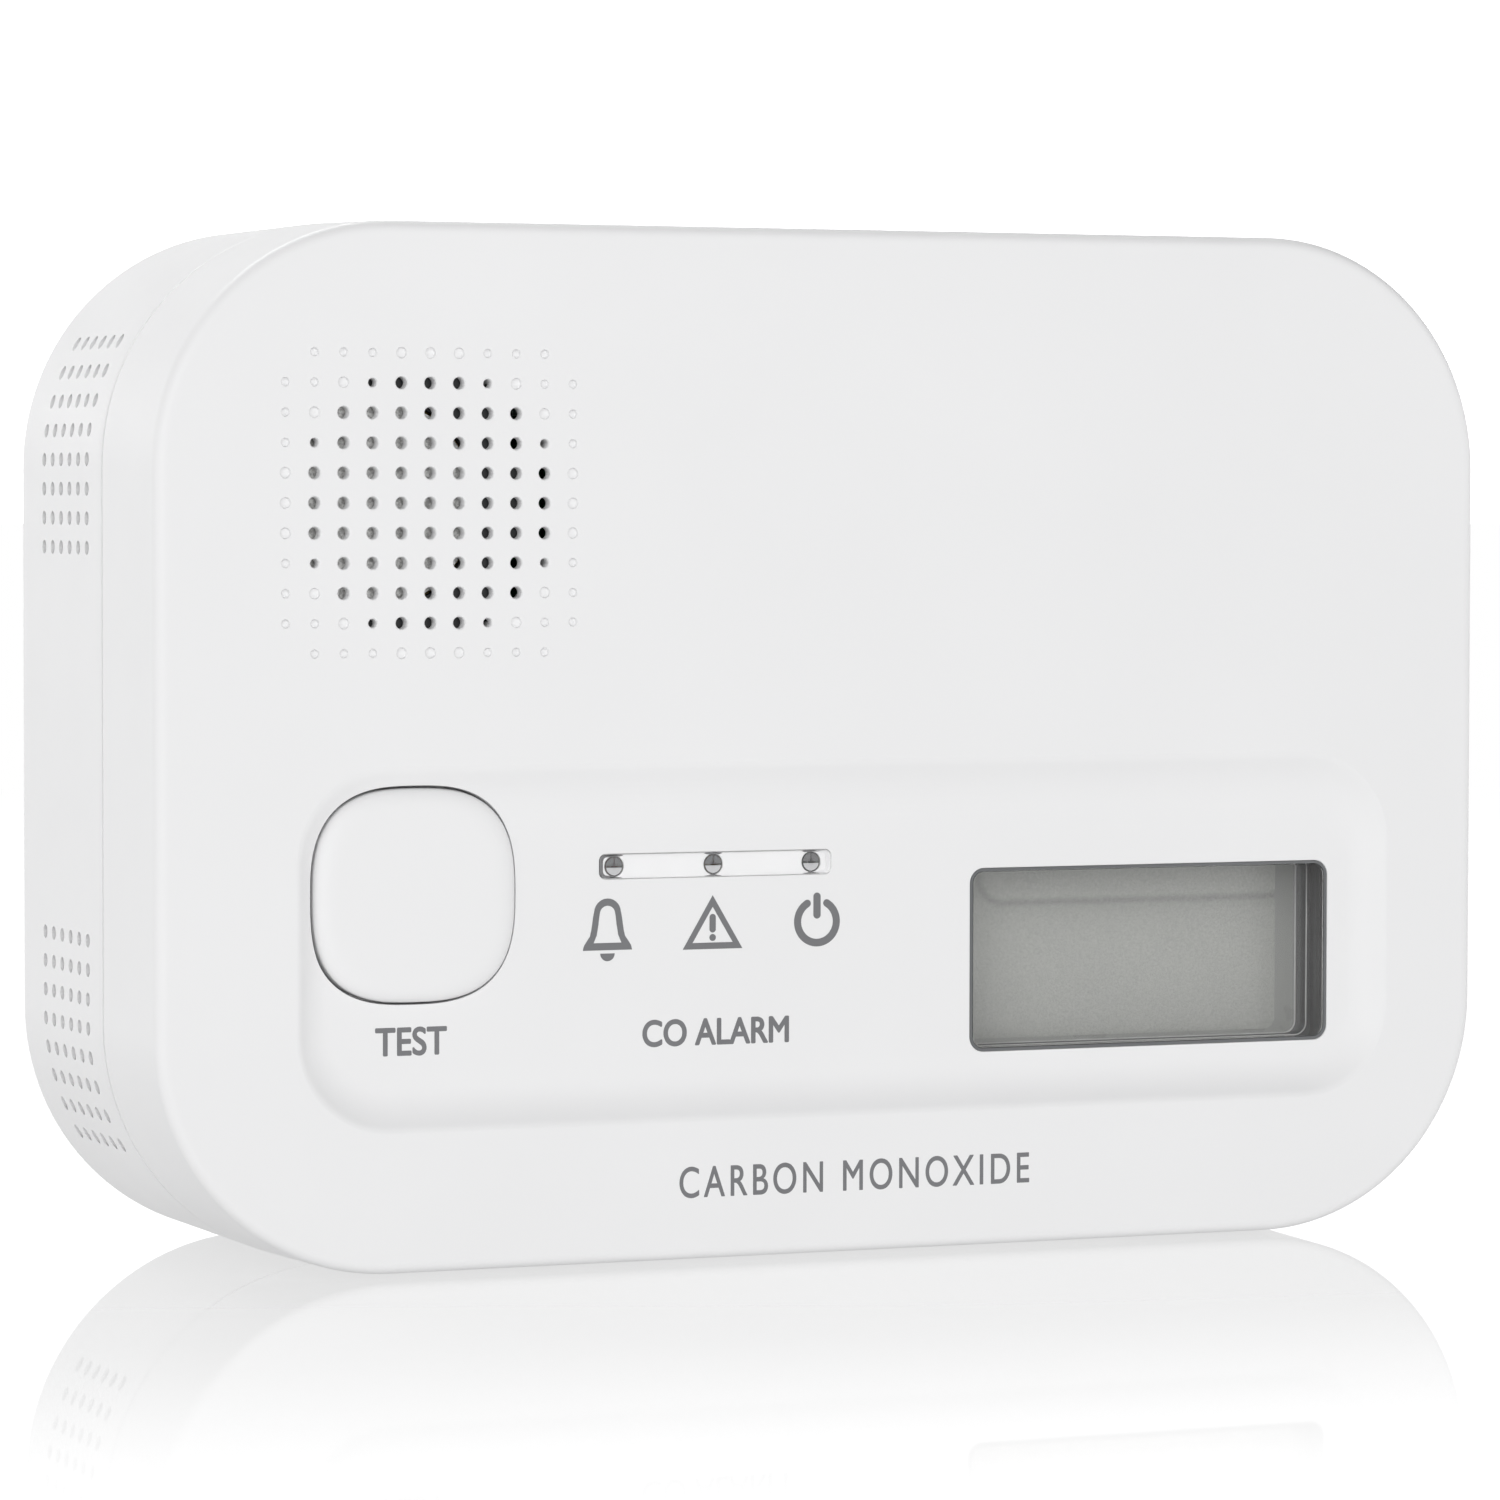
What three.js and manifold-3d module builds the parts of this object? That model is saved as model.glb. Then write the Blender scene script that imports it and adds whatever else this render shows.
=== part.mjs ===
// A battery-powered carbon monoxide alarm that stands on a shelf or hangs on two wall screws.
// Millimetres, +Z up, +X to the right as seen from the front. The front face looks towards -Y, the
// flat underside of the case is at Z = 0, and the origin is under the middle of the case.
import * as THREE from "three";
import { mergeVertices } from "three/addons/utils/BufferGeometryUtils.js";
import Module from "manifold-3d";

const wasm = await Module();
wasm.setup();

// ---------- driving dimensions ----------
const CASE = { width: 124.1, height: 88.6, depth: 38, corner: 20.8 };
const FACE_Y = -CASE.depth / 2;
const BACK_Y = CASE.depth / 2;
const SEAM_Y = FACE_Y + 14; // middle of the joint line between the two covers
const GAP = 0.3; // between pieces that touch or rest on each other
const DRAFT = 0.3; // the front face is this much smaller all round than the joint line
const EDGE = 1; // rounding of the front and rear edges
const WALL = 2; // front and back walls
const SIDE_WALL = 2.2;
const TONGUE = { outside: 1.2, length: 1.8 }; // lip of the front cover inside the rear cover
const CORNER_STEPS = 7;

// The control panel is a shallow dish in the front face. Its slopes differ on the four sides.
const FACE_LEFT = -CASE.width / 2 + DRAFT; // left edge of the front face
const DISH = {
  left: FACE_LEFT + 12.45, right: FACE_LEFT + 114.6, bottom: 12.4, top: 42.5, corner: 8, depth: 1.3,
  slope: { left: 2.9, right: 3.4, bottom: 3.6, top: 5 },
};
const DISH_Y = FACE_Y + DISH.depth;
const DISH_BACK_Y = DISH_Y + WALL;

const BUTTON = { x: FACE_LEFT + 22.8, z: 32.1, half: 9.1, power: 2.8, proud: 0.45, travel: 0.5 };
const DISPLAY = { x: FACE_LEFT + 91.9, z: 25.1, width: 35.1, height: 16, corner: 1.3 };
const LIGHT_BAR = { x: FACE_LEFT + 50.4, z: 34, width: 21.5, height: 2.15, pocket: 1.2, leg: 0.85 };
const LED = { x: FACE_LEFT + 50.42, pitch: 9.12, tipY: -10.4 };
const LED_X = [-1, 0, 1].map((side) => LED.x + side * LED.pitch);
const GRILLE = {
  x: FACE_LEFT + 23.98, z: 64.8, pitchX: 2.55, pitchZ: 2.5, hole: 0.5, smallHole: 0.36,
  wall: 1.1, thinned: 11.4,
};
const GRILLE_REACH = [0, 2, 3, 4, 4, 4, 4, 4, 3, 2, 0]; // open holes each side of the middle column, by row
const GRILLE_SMALL = [[1, 2], [3, 4], [7, 4], [9, 2]]; // row and reach of the smaller open holes

const VENT = { radius: 0.6, pitch: 2.5, rows: 8, columns: 6, firstRow: 16.65, rearY: 11.7, reach: 6.9 };

const POSTS = [[-51.5, 78], [51.5, 78], [-51.5, 10.6], [51.5, 10.6]];
const BOARD_POSTS = [[-52.5, 20], [51.5, 42], [51.5, 68.5], [-12, 68.5]];
const BOARD = { left: -55, right: 55, bottom: 16.3, top: 72.3, frontY: -4.9, thickness: 1.6 };
const BOARD_BACK_Y = BOARD.frontY + BOARD.thickness;

const HORN = {
  x: GRILLE.x - 4.3, z: GRILLE.z, outer: 12.8, opening: 9, ceramic: 8.7, plate: 11.2,
  rim: 0.8, retainer: 1.6,
};
const SENSOR = { x: 30, z: 57.5, radius: 10, length: 9.3 };

const CELL = { radius: 7.15, length: 50.5, nub: 2.7, nubLength: 1.1, spacing: 15.4, y: 9.3 };
const CONTACT = { thickness: 0.4, halfWidth: 5.5, bumpRadius: 2, bumpHeight: 1, tailHalf: 1.4 };
const BAY = { halfLength: 29.6, bottom: 14.4, top: 45.6, floorY: 1.6, wall: 1.5 };
const BAY_Z = (BAY.bottom + BAY.top) / 2;
const DOOR = { halfWidth: 33.4, halfHeight: 17.8, thickness: 1.7, barrel: 1.1, pin: 0.7, pinLength: 1.4 };
const HINGE = { x: DOOR.halfWidth - DOOR.barrel, y: BACK_Y - DOOR.barrel };
const KEYHOLE = { x: 40, z: 63, headRadius: 4.2, slotRadius: 2.1, rise: 7.5 };
const CASE_SCREW = { radius: 1.05, head: 2.4, headLength: 1.8, seatY: 2 };
const BOARD_SCREW = { radius: 0.9, head: 2.1, headLength: 1.4, length: 7 };

// ---------- materials ----------
const finish = (color, roughness, metalness = 0, extra = {}) =>
  new THREE.MeshStandardMaterial({ color, roughness, metalness, ...extra });
const MATERIAL = {
  casePlastic: finish(0xf2f2f2, 0.5),
  clear: finish(0xf4f7f8, 0.08, 0, { transparent: true, opacity: 0.4 }),
  displayGlass: finish(0x9a9c94, 0.25),
  darkPlastic: finish(0x3a3b3d, 0.55),
  board: finish(0x1f5b34, 0.5),
  steel: finish(0xc9cbcc, 0.3, 1),
  brass: finish(0xc6a55a, 0.35, 1),
  ceramic: finish(0xd4d4d0, 0.5, 0.4),
  rubber: finish(0x7c7f83, 0.8),
  redLens: finish(0xc8403a, 0.2),
  amberLens: finish(0xd9a13a, 0.2),
  greenLens: finish(0x4fae5a, 0.2),
  filter: finish(0xe9e9e4, 0.9),
  cellWrap: finish(0x2d6a8c, 0.35),
};

// ---------- solid helpers ----------
function solid(geometry) {
  const bare = geometry.clone();
  bare.deleteAttribute("normal");
  bare.deleteAttribute("uv");
  const merged = mergeVertices(bare, 1e-4);
  return new wasm.Manifold(new wasm.Mesh({
    numProp: 3,
    vertProperties: new Float32Array(merged.attributes.position.array),
    triVerts: new Uint32Array(merged.index.array),
  }));
}

function geometryOf(manifold) {
  const mesh = manifold.getMesh();
  const geometry = new THREE.BufferGeometry();
  geometry.setAttribute("position", new THREE.BufferAttribute(new Float32Array(mesh.vertProperties), 3));
  geometry.setIndex(new THREE.BufferAttribute(new Uint32Array(mesh.triVerts), 1));
  geometry.computeVertexNormals();
  return geometry;
}

const join = (pieces) => pieces.reduce((all, piece) => all.add(piece));
const cut = (body, tools) => tools.reduce((left, tool) => left.subtract(tool), body);

const box = (x0, x1, y0, y1, z0, z1) =>
  solid(new THREE.BoxGeometry(x1 - x0, y1 - y0, z1 - z0)
    .translate((x0 + x1) / 2, (y0 + y1) / 2, (z0 + z1) / 2));

const cylinderY = (x, z, radius, y0, y1, sides = 16) =>
  solid(new THREE.CylinderGeometry(radius, radius, y1 - y0, sides).translate(x, (y0 + y1) / 2, z));

const cylinderX = (y, z, radius, x0, x1, sides = 16) =>
  solid(new THREE.CylinderGeometry(radius, radius, x1 - x0, sides)
    .rotateZ(Math.PI / 2).translate((x0 + x1) / 2, y, z));

const cylinderZ = (x, y, radius, z0, z1, sides = 12) =>
  solid(new THREE.CylinderGeometry(radius, radius, z1 - z0, sides)
    .rotateX(Math.PI / 2).translate(x, y, (z0 + z1) / 2));

// A body of revolution about Y through (x, z). The profile lists [radius, y] from front to back.
const turnedY = (x, z, profile, sides = 20) =>
  solid(new THREE.LatheGeometry(profile.map(([r, y]) => new THREE.Vector2(r, y)), sides)
    .translate(x, 0, z));

// A closed body through rings of points with equal counts, listed front to back, each
// anticlockwise as seen from the front.
function loft(rings) {
  const count = rings[0].length;
  const points = rings.flat();
  const middle = (ring) => ring[0].map((_, axis) => ring.reduce((sum, p) => sum + p[axis], 0) / count);
  points.push(middle(rings[0]), middle(rings.at(-1)));
  const frontMiddle = points.length - 2;
  const backMiddle = points.length - 1;
  const backRing = (rings.length - 1) * count;
  const index = [];
  for (let i = 0; i < count; i++) {
    const next = (i + 1) % count;
    index.push(frontMiddle, i, next, backMiddle, backRing + next, backRing + i);
    for (let ring = 0; ring < backRing; ring += count) {
      index.push(ring + i, ring + count + i, ring + next);
      index.push(ring + next, ring + count + i, ring + count + next);
    }
  }
  const geometry = new THREE.BufferGeometry();
  geometry.setAttribute("position", new THREE.Float32BufferAttribute(points.flat(), 3));
  geometry.setIndex(index);
  return solid(geometry);
}

function roundedRing({ left, right, bottom, top, corner }, y, steps = CORNER_STEPS) {
  const ring = [];
  const centres = [[right, top], [left, top], [left, bottom], [right, bottom]];
  centres.forEach(([edgeX, edgeZ], quarter) => {
    const x = edgeX - Math.sign(edgeX - (left + right) / 2) * corner;
    const z = edgeZ - Math.sign(edgeZ - (bottom + top) / 2) * corner;
    for (let step = 0; step <= steps; step++) {
      const angle = (quarter + step / steps) * Math.PI / 2;
      ring.push([x + corner * Math.cos(angle), y, z + corner * Math.sin(angle)]);
    }
  });
  return ring;
}

const rectangle = (x, z, width, height, corner) =>
  ({ left: x - width / 2, right: x + width / 2, bottom: z - height / 2, top: z + height / 2, corner });

const plate = (outline, y0, y1, steps = 4) =>
  loft([roundedRing(outline, y0, steps), roundedRing(outline, y1, steps)]);

// The case outline, moved inwards by inset.
const caseRing = (inset, y) =>
  roundedRing(rectangle(0, CASE.height / 2, CASE.width - 2 * inset, CASE.height - 2 * inset,
    CASE.corner - inset), y);

// The soft square of the test button: |x|^power + |z|^power = half^power.
function softSquareRing(half, y, sides = 40) {
  return Array.from({ length: sides }, (_, i) => {
    const angle = i / sides * 2 * Math.PI;
    const soft = (v) => Math.sign(v) * Math.abs(v) ** (2 / BUTTON.power);
    return [BUTTON.x + half * soft(Math.cos(angle)), y, BUTTON.z + half * soft(Math.sin(angle))];
  });
}

// ---------- front cover ----------
function dishRing(depthShare, y) {
  const { slope } = DISH;
  return roundedRing({
    left: DISH.left + slope.left * depthShare,
    right: DISH.right - slope.right * depthShare,
    bottom: DISH.bottom + slope.bottom * depthShare,
    top: DISH.top - slope.top * depthShare,
    corner: DISH.corner - 3 * depthShare,
  }, y);
}

function grilleHoles() {
  const holes = [];
  GRILLE_REACH.forEach((reach, row) => {
    if (reach === 0) return;
    for (let column = -reach; column <= reach; column++) {
      const small = GRILLE_SMALL.some(([r, c]) => r === row && c === Math.abs(column));
      holes.push(cylinderY(GRILLE.x + column * GRILLE.pitchX, GRILLE.z + (5 - row) * GRILLE.pitchZ,
        small ? GRILLE.smallHole : GRILLE.hole, FACE_Y - 1, FACE_Y + WALL + 1, 6));
    }
  });
  return join(holes);
}

function frontCover() {
  const rimY = SEAM_Y - GAP / 2;
  const postEndY = -2;
  const shell = loft([
    caseRing(DRAFT + EDGE, FACE_Y),
    caseRing(DRAFT + EDGE * 0.29, FACE_Y + EDGE * 0.29),
    caseRing(DRAFT, FACE_Y + EDGE),
    caseRing(0, rimY),
  ]);
  const tongue = loft([caseRing(TONGUE.outside, rimY - 2), caseRing(TONGUE.outside, rimY + TONGUE.length)]);
  const hollow = loft([caseRing(SIDE_WALL, FACE_Y + WALL), caseRing(SIDE_WALL, SEAM_Y + 5)]);
  // The wall is thinner behind the grille, and the horn stands in the thinned part.
  const thinned = [[GRILLE.x, GRILLE.thinned], [HORN.x, HORN.outer + GAP]].map(([x, radius]) =>
    cylinderY(x, GRILLE.z, radius, FACE_Y + GRILLE.wall, FACE_Y + WALL + 1, 32));
  const backing = plate({ left: DISH.left, right: DISH.right, bottom: DISH.bottom, top: DISH.top,
    corner: DISH.corner }, FACE_Y + WALL - 0.2, DISH_BACK_Y);
  const posts = POSTS.map(([x, z]) => cylinderY(x, z, 3, FACE_Y + WALL - 0.2, postEndY));
  const bores = POSTS.map(([x, z]) =>
    cylinderY(x, z, CASE_SCREW.radius + GAP, FACE_Y + WALL + 1, postEndY + 1, 12));
  const boardPosts = BOARD_POSTS.map(([x, z]) =>
    cylinderY(x, z, 2.5, FACE_Y + WALL - 0.2, BOARD.frontY - GAP, 12));
  const boardBores = BOARD_POSTS.map(([x, z]) =>
    cylinderY(x, z, BOARD_SCREW.radius + GAP, FACE_Y + WALL + 2, BOARD.frontY + 1, 10));
  const dish = loft([dishRing(0, FACE_Y - 1), dishRing(0, FACE_Y), dishRing(1, DISH_Y)]);
  const buttonHole = loft([softSquareRing(BUTTON.half, FACE_Y - 1), softSquareRing(BUTTON.half, 0)]);
  const displayHole = plate(rectangle(DISPLAY.x, DISPLAY.z, DISPLAY.width, DISPLAY.height,
    DISPLAY.corner), FACE_Y - 1, DISH_BACK_Y + 1);
  const lightPocket = plate(rectangle(LIGHT_BAR.x, LIGHT_BAR.z, LIGHT_BAR.width, LIGHT_BAR.height, 0.6),
    FACE_Y - 1, DISH_Y + LIGHT_BAR.pocket);
  const legHoles = LED_X.map((x) =>
    cylinderY(x, LIGHT_BAR.z, LIGHT_BAR.leg + GAP, DISH_Y, DISH_BACK_Y + 1, 12));
  return cut(join([shell.add(tongue).subtract(hollow), backing, ...posts, ...boardPosts]),
    [...thinned, ...bores, ...boardBores, dish, buttonHole, displayHole, lightPocket, ...legHoles,
      grilleHoles()]);
}

// ---------- rear cover ----------
// Each row of fine vent holes is opened as one slot, which keeps these faceted solids light.
function sideVents() {
  const frontY = VENT.rearY - (VENT.columns - 1) * VENT.pitch - VENT.radius;
  const slots = [];
  for (const side of [-1, 1]) {
    const inner = side * (CASE.width / 2 - VENT.reach);
    const outer = side * (CASE.width / 2 + 1);
    for (const half of [-1, 1]) {
      for (let row = 0; row < VENT.rows; row++) {
        const z = CASE.height / 2 + half * (VENT.firstRow + row * VENT.pitch);
        slots.push(box(Math.min(inner, outer), Math.max(inner, outer), frontY, VENT.rearY + VENT.radius,
          z - VENT.radius, z + VENT.radius));
      }
    }
  }
  return join(slots);
}

function keyhole(side) {
  const { x, z, headRadius, slotRadius, rise } = KEYHOLE;
  const y0 = BACK_Y - WALL - 1;
  const y1 = BACK_Y + 1;
  return join([
    cylinderY(side * x, z, headRadius, y0, y1, 20),
    box(side * x - slotRadius, side * x + slotRadius, y0, y1, z, z + rise),
    cylinderY(side * x, z + rise, slotRadius, y0, y1, 16),
  ]);
}

function rearCover() {
  const rimY = SEAM_Y + GAP / 2;
  const tubeEndY = -2 + GAP;
  const shell = loft([
    caseRing(0, rimY),
    caseRing(0, BACK_Y - EDGE),
    caseRing(EDGE * 0.29, BACK_Y - EDGE * 0.29),
    caseRing(EDGE, BACK_Y),
  ]);
  const hollow = loft([caseRing(SIDE_WALL, rimY - 1), caseRing(SIDE_WALL, BACK_Y - WALL)]);
  const rabbet = loft([caseRing(TONGUE.outside - GAP, rimY - 1),
    caseRing(TONGUE.outside - GAP, rimY + TONGUE.length + GAP)]);
  const tubes = POSTS.map(([x, z]) => cylinderY(x, z, 3.4, tubeEndY, BACK_Y - WALL + 0.2));
  const tubeBores = POSTS.flatMap(([x, z]) => [
    cylinderY(x, z, CASE_SCREW.head + GAP, CASE_SCREW.seatY, BACK_Y + 1),
    cylinderY(x, z, CASE_SCREW.radius + GAP, tubeEndY - 1, BACK_Y, 12),
  ]);
  const { halfLength, bottom, top, floorY, wall } = BAY;
  const bay = box(-halfLength - wall, halfLength + wall, floorY - wall, BACK_Y - WALL + 0.2,
    bottom - wall, top + wall);
  const collarReach = 1.6;
  const collar = box(-DOOR.halfWidth - collarReach, DOOR.halfWidth + collarReach,
    BACK_Y - WALL - 1.6, BACK_Y - WALL + 0.2,
    BAY_Z - DOOR.halfHeight - collarReach, BAY_Z + DOOR.halfHeight + collarReach);
  const bayHollow = box(-halfLength, halfLength, floorY, BACK_Y + 1, bottom, top);
  const tailSlots = [-1, 1].map((level) => {
    const z = BAY_Z + level * CELL.spacing / 2;
    return box(-halfLength, -halfLength + CONTACT.thickness + 2 * GAP, floorY - wall - 1, floorY + 1,
      z - CONTACT.tailHalf - GAP, z + CONTACT.tailHalf + GAP);
  });
  const doorSeat = box(-DOOR.halfWidth - GAP, DOOR.halfWidth + GAP, BACK_Y - WALL, BACK_Y + 1,
    BAY_Z - DOOR.halfHeight - GAP, BAY_Z + DOOR.halfHeight + GAP);
  const hingeGroove = cylinderZ(HINGE.x, HINGE.y, DOOR.barrel + GAP,
    BAY_Z - DOOR.halfHeight - GAP, BAY_Z + DOOR.halfHeight + GAP, 16);
  const pinHoleReach = DOOR.halfHeight + DOOR.pinLength + GAP;
  const pinHoles = cylinderZ(HINGE.x, HINGE.y, DOOR.pin + GAP,
    BAY_Z - pinHoleReach, BAY_Z + pinHoleReach);
  const fingerNotch = cylinderY(-DOOR.halfWidth - 1.2, BAY_Z, 4, BACK_Y - 1.2, BACK_Y + 1, 24);
  return cut(join([shell.subtract(hollow).subtract(rabbet), ...tubes, bay, collar]),
    [...tubeBores, bayHollow, ...tailSlots, doorSeat, hingeGroove, pinHoles, fingerNotch,
      keyhole(-1), keyhole(1), sideVents()]);
}

// ---------- battery door, hinged on the upright pins at its +X edge ----------
function batteryDoor() {
  const { halfWidth, halfHeight, thickness, barrel, pin, pinLength } = DOOR;
  const panel = box(-halfWidth, HINGE.x, BACK_Y - thickness, BACK_Y,
    BAY_Z - halfHeight, BAY_Z + halfHeight);
  const roll = cylinderZ(HINGE.x, HINGE.y, barrel, BAY_Z - halfHeight, BAY_Z + halfHeight, 16);
  const pins = cylinderZ(HINGE.x, HINGE.y, pin,
    BAY_Z - halfHeight - pinLength, BAY_Z + halfHeight + pinLength);
  const ribs = [-1, 1].map((side) => box(-26, 26, BACK_Y - thickness - 0.9, BACK_Y - thickness + 0.1,
    BAY_Z + side * 14.6 - 0.5, BAY_Z + side * 14.6 + 0.5));
  const latch = box(-BAY.halfLength + GAP, -BAY.halfLength + 1.3, BACK_Y - 6, BACK_Y - thickness + 0.1,
    BAY_Z - 1.6, BAY_Z + 1.6);
  const fingerScoop = cylinderY(-halfWidth - 1.2, BAY_Z, 4, BACK_Y - 0.8, BACK_Y + 1, 24);
  return join([panel, roll, pins, ...ribs, latch]).subtract(fingerScoop);
}

// ---------- test button and its switch ----------
const BUTTON_TOP_Y = DISH_Y - BUTTON.proud;
const PLUNGER = { radius: 1.75, tipY: -11.2, endY: -8 };
const SWITCH = { half: 3, frontY: -8.7, wellY: PLUNGER.endY + 2 * BUTTON.travel };

function testButton() {
  const half = BUTTON.half - GAP;
  const cap = loft([
    softSquareRing(half - 0.9, BUTTON_TOP_Y),
    softSquareRing(half - 0.25, BUTTON_TOP_Y + 0.25),
    softSquareRing(half, BUTTON_TOP_Y + 0.8),
    softSquareRing(half, DISH_BACK_Y + GAP + 1),
  ]);
  const flange = loft([softSquareRing(half + 1.2, DISH_BACK_Y + GAP), softSquareRing(half + 1.2,
    DISH_BACK_Y + GAP + 1)]);
  const stem = cylinderY(BUTTON.x, BUTTON.z, 2.4, DISH_BACK_Y + GAP + 0.9, PLUNGER.tipY - GAP);
  return join([cap, flange, stem]);
}

const switchBody = () =>
  box(BUTTON.x - SWITCH.half, BUTTON.x + SWITCH.half, SWITCH.frontY, BOARD.frontY - GAP,
    BUTTON.z - SWITCH.half, BUTTON.z + SWITCH.half)
    .subtract(cylinderY(BUTTON.x, BUTTON.z, PLUNGER.radius + GAP, SWITCH.frontY - 1, SWITCH.wellY));

const switchPlunger = () => cylinderY(BUTTON.x, BUTTON.z, PLUNGER.radius, PLUNGER.tipY, PLUNGER.endY);

// ---------- indicator lights ----------
// The clear bar is pressed into its pocket from the front, and its legs reach down to the lamps.
function lightPipe() {
  const { x, z, width, height, pocket, leg } = LIGHT_BAR;
  const barBackY = DISH_Y + pocket - GAP;
  const bar = plate(rectangle(x, z, width - 2 * GAP, height - 2 * GAP, 0.45), DISH_Y + 0.05, barBackY);
  const legs = LED_X.map((ledX) => cylinderY(ledX, z, leg, barBackY - 0.1, LED.tipY - GAP, 12));
  return join([bar, ...legs]);
}

const led = (x) => turnedY(x, LIGHT_BAR.z, [
  [0, LED.tipY], [0.75, LED.tipY + 0.2], [1.3, LED.tipY + 0.75], [1.5, LED.tipY + 1.5],
  [1.5, BOARD.frontY - GAP - 0.9], [1.9, BOARD.frontY - GAP - 0.9], [1.9, BOARD.frontY - GAP],
  [0, BOARD.frontY - GAP],
], 14);

// ---------- display ----------
const WINDOW = { frontY: DISH_Y + 0.25, flange: 1.2, flangeReach: 1.6 };
const PANEL = { frontY: -9.9, thickness: 2.4, width: 38, height: 19, border: 1.5 };

function displayWindow() {
  const { x, z, width, height, corner } = DISPLAY;
  const lens = plate(rectangle(x, z, width - 2 * GAP, height - 2 * GAP, corner - GAP),
    WINDOW.frontY, DISH_BACK_Y + GAP + 0.1);
  const flange = plate(rectangle(x, z, width + 2 * WINDOW.flangeReach, height + 2 * WINDOW.flangeReach, 1),
    DISH_BACK_Y + GAP, DISH_BACK_Y + GAP + WINDOW.flange);
  return lens.add(flange);
}

function displayHolder() {
  const { x, z } = DISPLAY;
  const frontY = DISH_BACK_Y + GAP + WINDOW.flange + GAP;
  const frame = plate(rectangle(x, z, PANEL.width + 2 * PANEL.border, PANEL.height + 2 * PANEL.border, 1),
    frontY, BOARD.frontY - GAP);
  const view = plate(rectangle(x, z, DISPLAY.width + 0.6, DISPLAY.height + 0.6, DISPLAY.corner),
    frontY - 1, BOARD.frontY);
  const seat = box(x - PANEL.width / 2 - GAP, x + PANEL.width / 2 + GAP, PANEL.frontY - GAP, BOARD.frontY,
    z - PANEL.height / 2 - GAP, z + PANEL.height / 2 + GAP);
  return cut(frame, [view, seat]);
}

const displayPanel = () =>
  box(DISPLAY.x - PANEL.width / 2, DISPLAY.x + PANEL.width / 2, PANEL.frontY,
    PANEL.frontY + PANEL.thickness, DISPLAY.z - PANEL.height / 2, DISPLAY.z + PANEL.height / 2);

const displayConnector = () =>
  box(DISPLAY.x - 17.5, DISPLAY.x + 17.5, PANEL.frontY + PANEL.thickness + GAP, BOARD.frontY - GAP,
    DISPLAY.z - PANEL.height / 2 + 0.8, DISPLAY.z - PANEL.height / 2 + 2.6);

// ---------- circuit board and what stands on it ----------
const BOARD_CORNER = 2;

const circuitBoard = () => cut(
  plate({ ...BOARD, corner: BOARD_CORNER }, BOARD.frontY, BOARD_BACK_Y),
  BOARD_POSTS.map(([x, z]) =>
    cylinderY(x, z, BOARD_SCREW.radius + GAP, BOARD.frontY - 1, BOARD_BACK_Y + 1, 12)));

const boardPart = (x, z, radius, height) =>
  turnedY(x, z, [
    [0, BOARD.frontY - GAP - height], [radius - 0.4, BOARD.frontY - GAP - height],
    [radius, BOARD.frontY - GAP - height + 0.4], [radius, BOARD.frontY - GAP], [0, BOARD.frontY - GAP],
  ], 24);

const microcontroller = () =>
  box(-2, 8, BOARD.frontY - GAP - 1.5, BOARD.frontY - GAP, 52, 62);

const crystal = () =>
  plate(rectangle(14, 57, 4, 10, 1.9), BOARD.frontY - GAP - 3.4, BOARD.frontY - GAP);

// ---------- horn: housing, brass diaphragm, piezo ceramic and retaining ring ----------
const HORN_FRONT_Y = FACE_Y + GRILLE.wall + GAP;
const HORN_SHOULDER_Y = HORN_FRONT_Y + HORN.rim;

const hornDisc = (radius, y0, y1) => cylinderY(HORN.x, HORN.z, radius, y0, y1, 32);

const hornHousing = () => cut(hornDisc(HORN.outer, HORN_FRONT_Y, BOARD.frontY - GAP), [
  hornDisc(HORN.opening, HORN_FRONT_Y - 1, 0),
  hornDisc(HORN.plate + GAP, HORN_SHOULDER_Y, 0),
]);

const piezoPlate = () => hornDisc(HORN.plate, HORN_SHOULDER_Y + GAP, HORN_SHOULDER_Y + 2 * GAP);

const piezoCeramic = () => hornDisc(HORN.ceramic, HORN_FRONT_Y + 0.1, HORN_SHOULDER_Y);

const hornRetainer = () => hornDisc(HORN.plate, HORN_SHOULDER_Y + 3 * GAP, BOARD.frontY - GAP)
  .subtract(hornDisc(HORN.plate - HORN.retainer, HORN_SHOULDER_Y, 0));

// ---------- gas sensor ----------
const SENSOR_FRONT_Y = BOARD.frontY - GAP - SENSOR.length;

const sensorCap = () =>
  cylinderY(SENSOR.x, SENSOR.z, SENSOR.radius - 1.4, SENSOR_FRONT_Y - GAP - 1, SENSOR_FRONT_Y - GAP, 28)
    .subtract(cylinderY(SENSOR.x, SENSOR.z, 3.4, SENSOR_FRONT_Y - GAP - 2, SENSOR_FRONT_Y, 28));

const sensorFilter = () =>
  cylinderY(SENSOR.x, SENSOR.z, 3.4 - GAP, SENSOR_FRONT_Y - GAP - 0.7, SENSOR_FRONT_Y - GAP, 20);

// ---------- cells and contacts ----------
// The upper cell points its positive end to +X and the lower one to -X, so a bridge at +X joins them.
const SPRING = { wire: 0.35, baseRadius: 4.4, tipRadius: 2.6, turns: 3.5, bends: 24 };
const CELL_SHIFT = 2.35; // the springs push each cell towards its positive end

function cell(level, direction) {
  const { radius, length, nub, nubLength } = CELL;
  const half = length / 2;
  const profile = [
    [0, -half], [radius - 1.2, -half], [radius - 0.5, -half + 0.2], [radius, -half + 0.8],
    [radius, half - nubLength - 0.8], [radius - 0.5, half - nubLength - 0.2],
    [nub, half - nubLength], [nub, half - 0.3], [nub - 0.4, half], [0, half],
  ].map(([r, y]) => new THREE.Vector2(r, y));
  return solid(new THREE.LatheGeometry(profile, 24).rotateZ(-direction * Math.PI / 2)
    .translate(direction * CELL_SHIFT, CELL.y, BAY_Z + level * CELL.spacing / 2));
}

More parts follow.
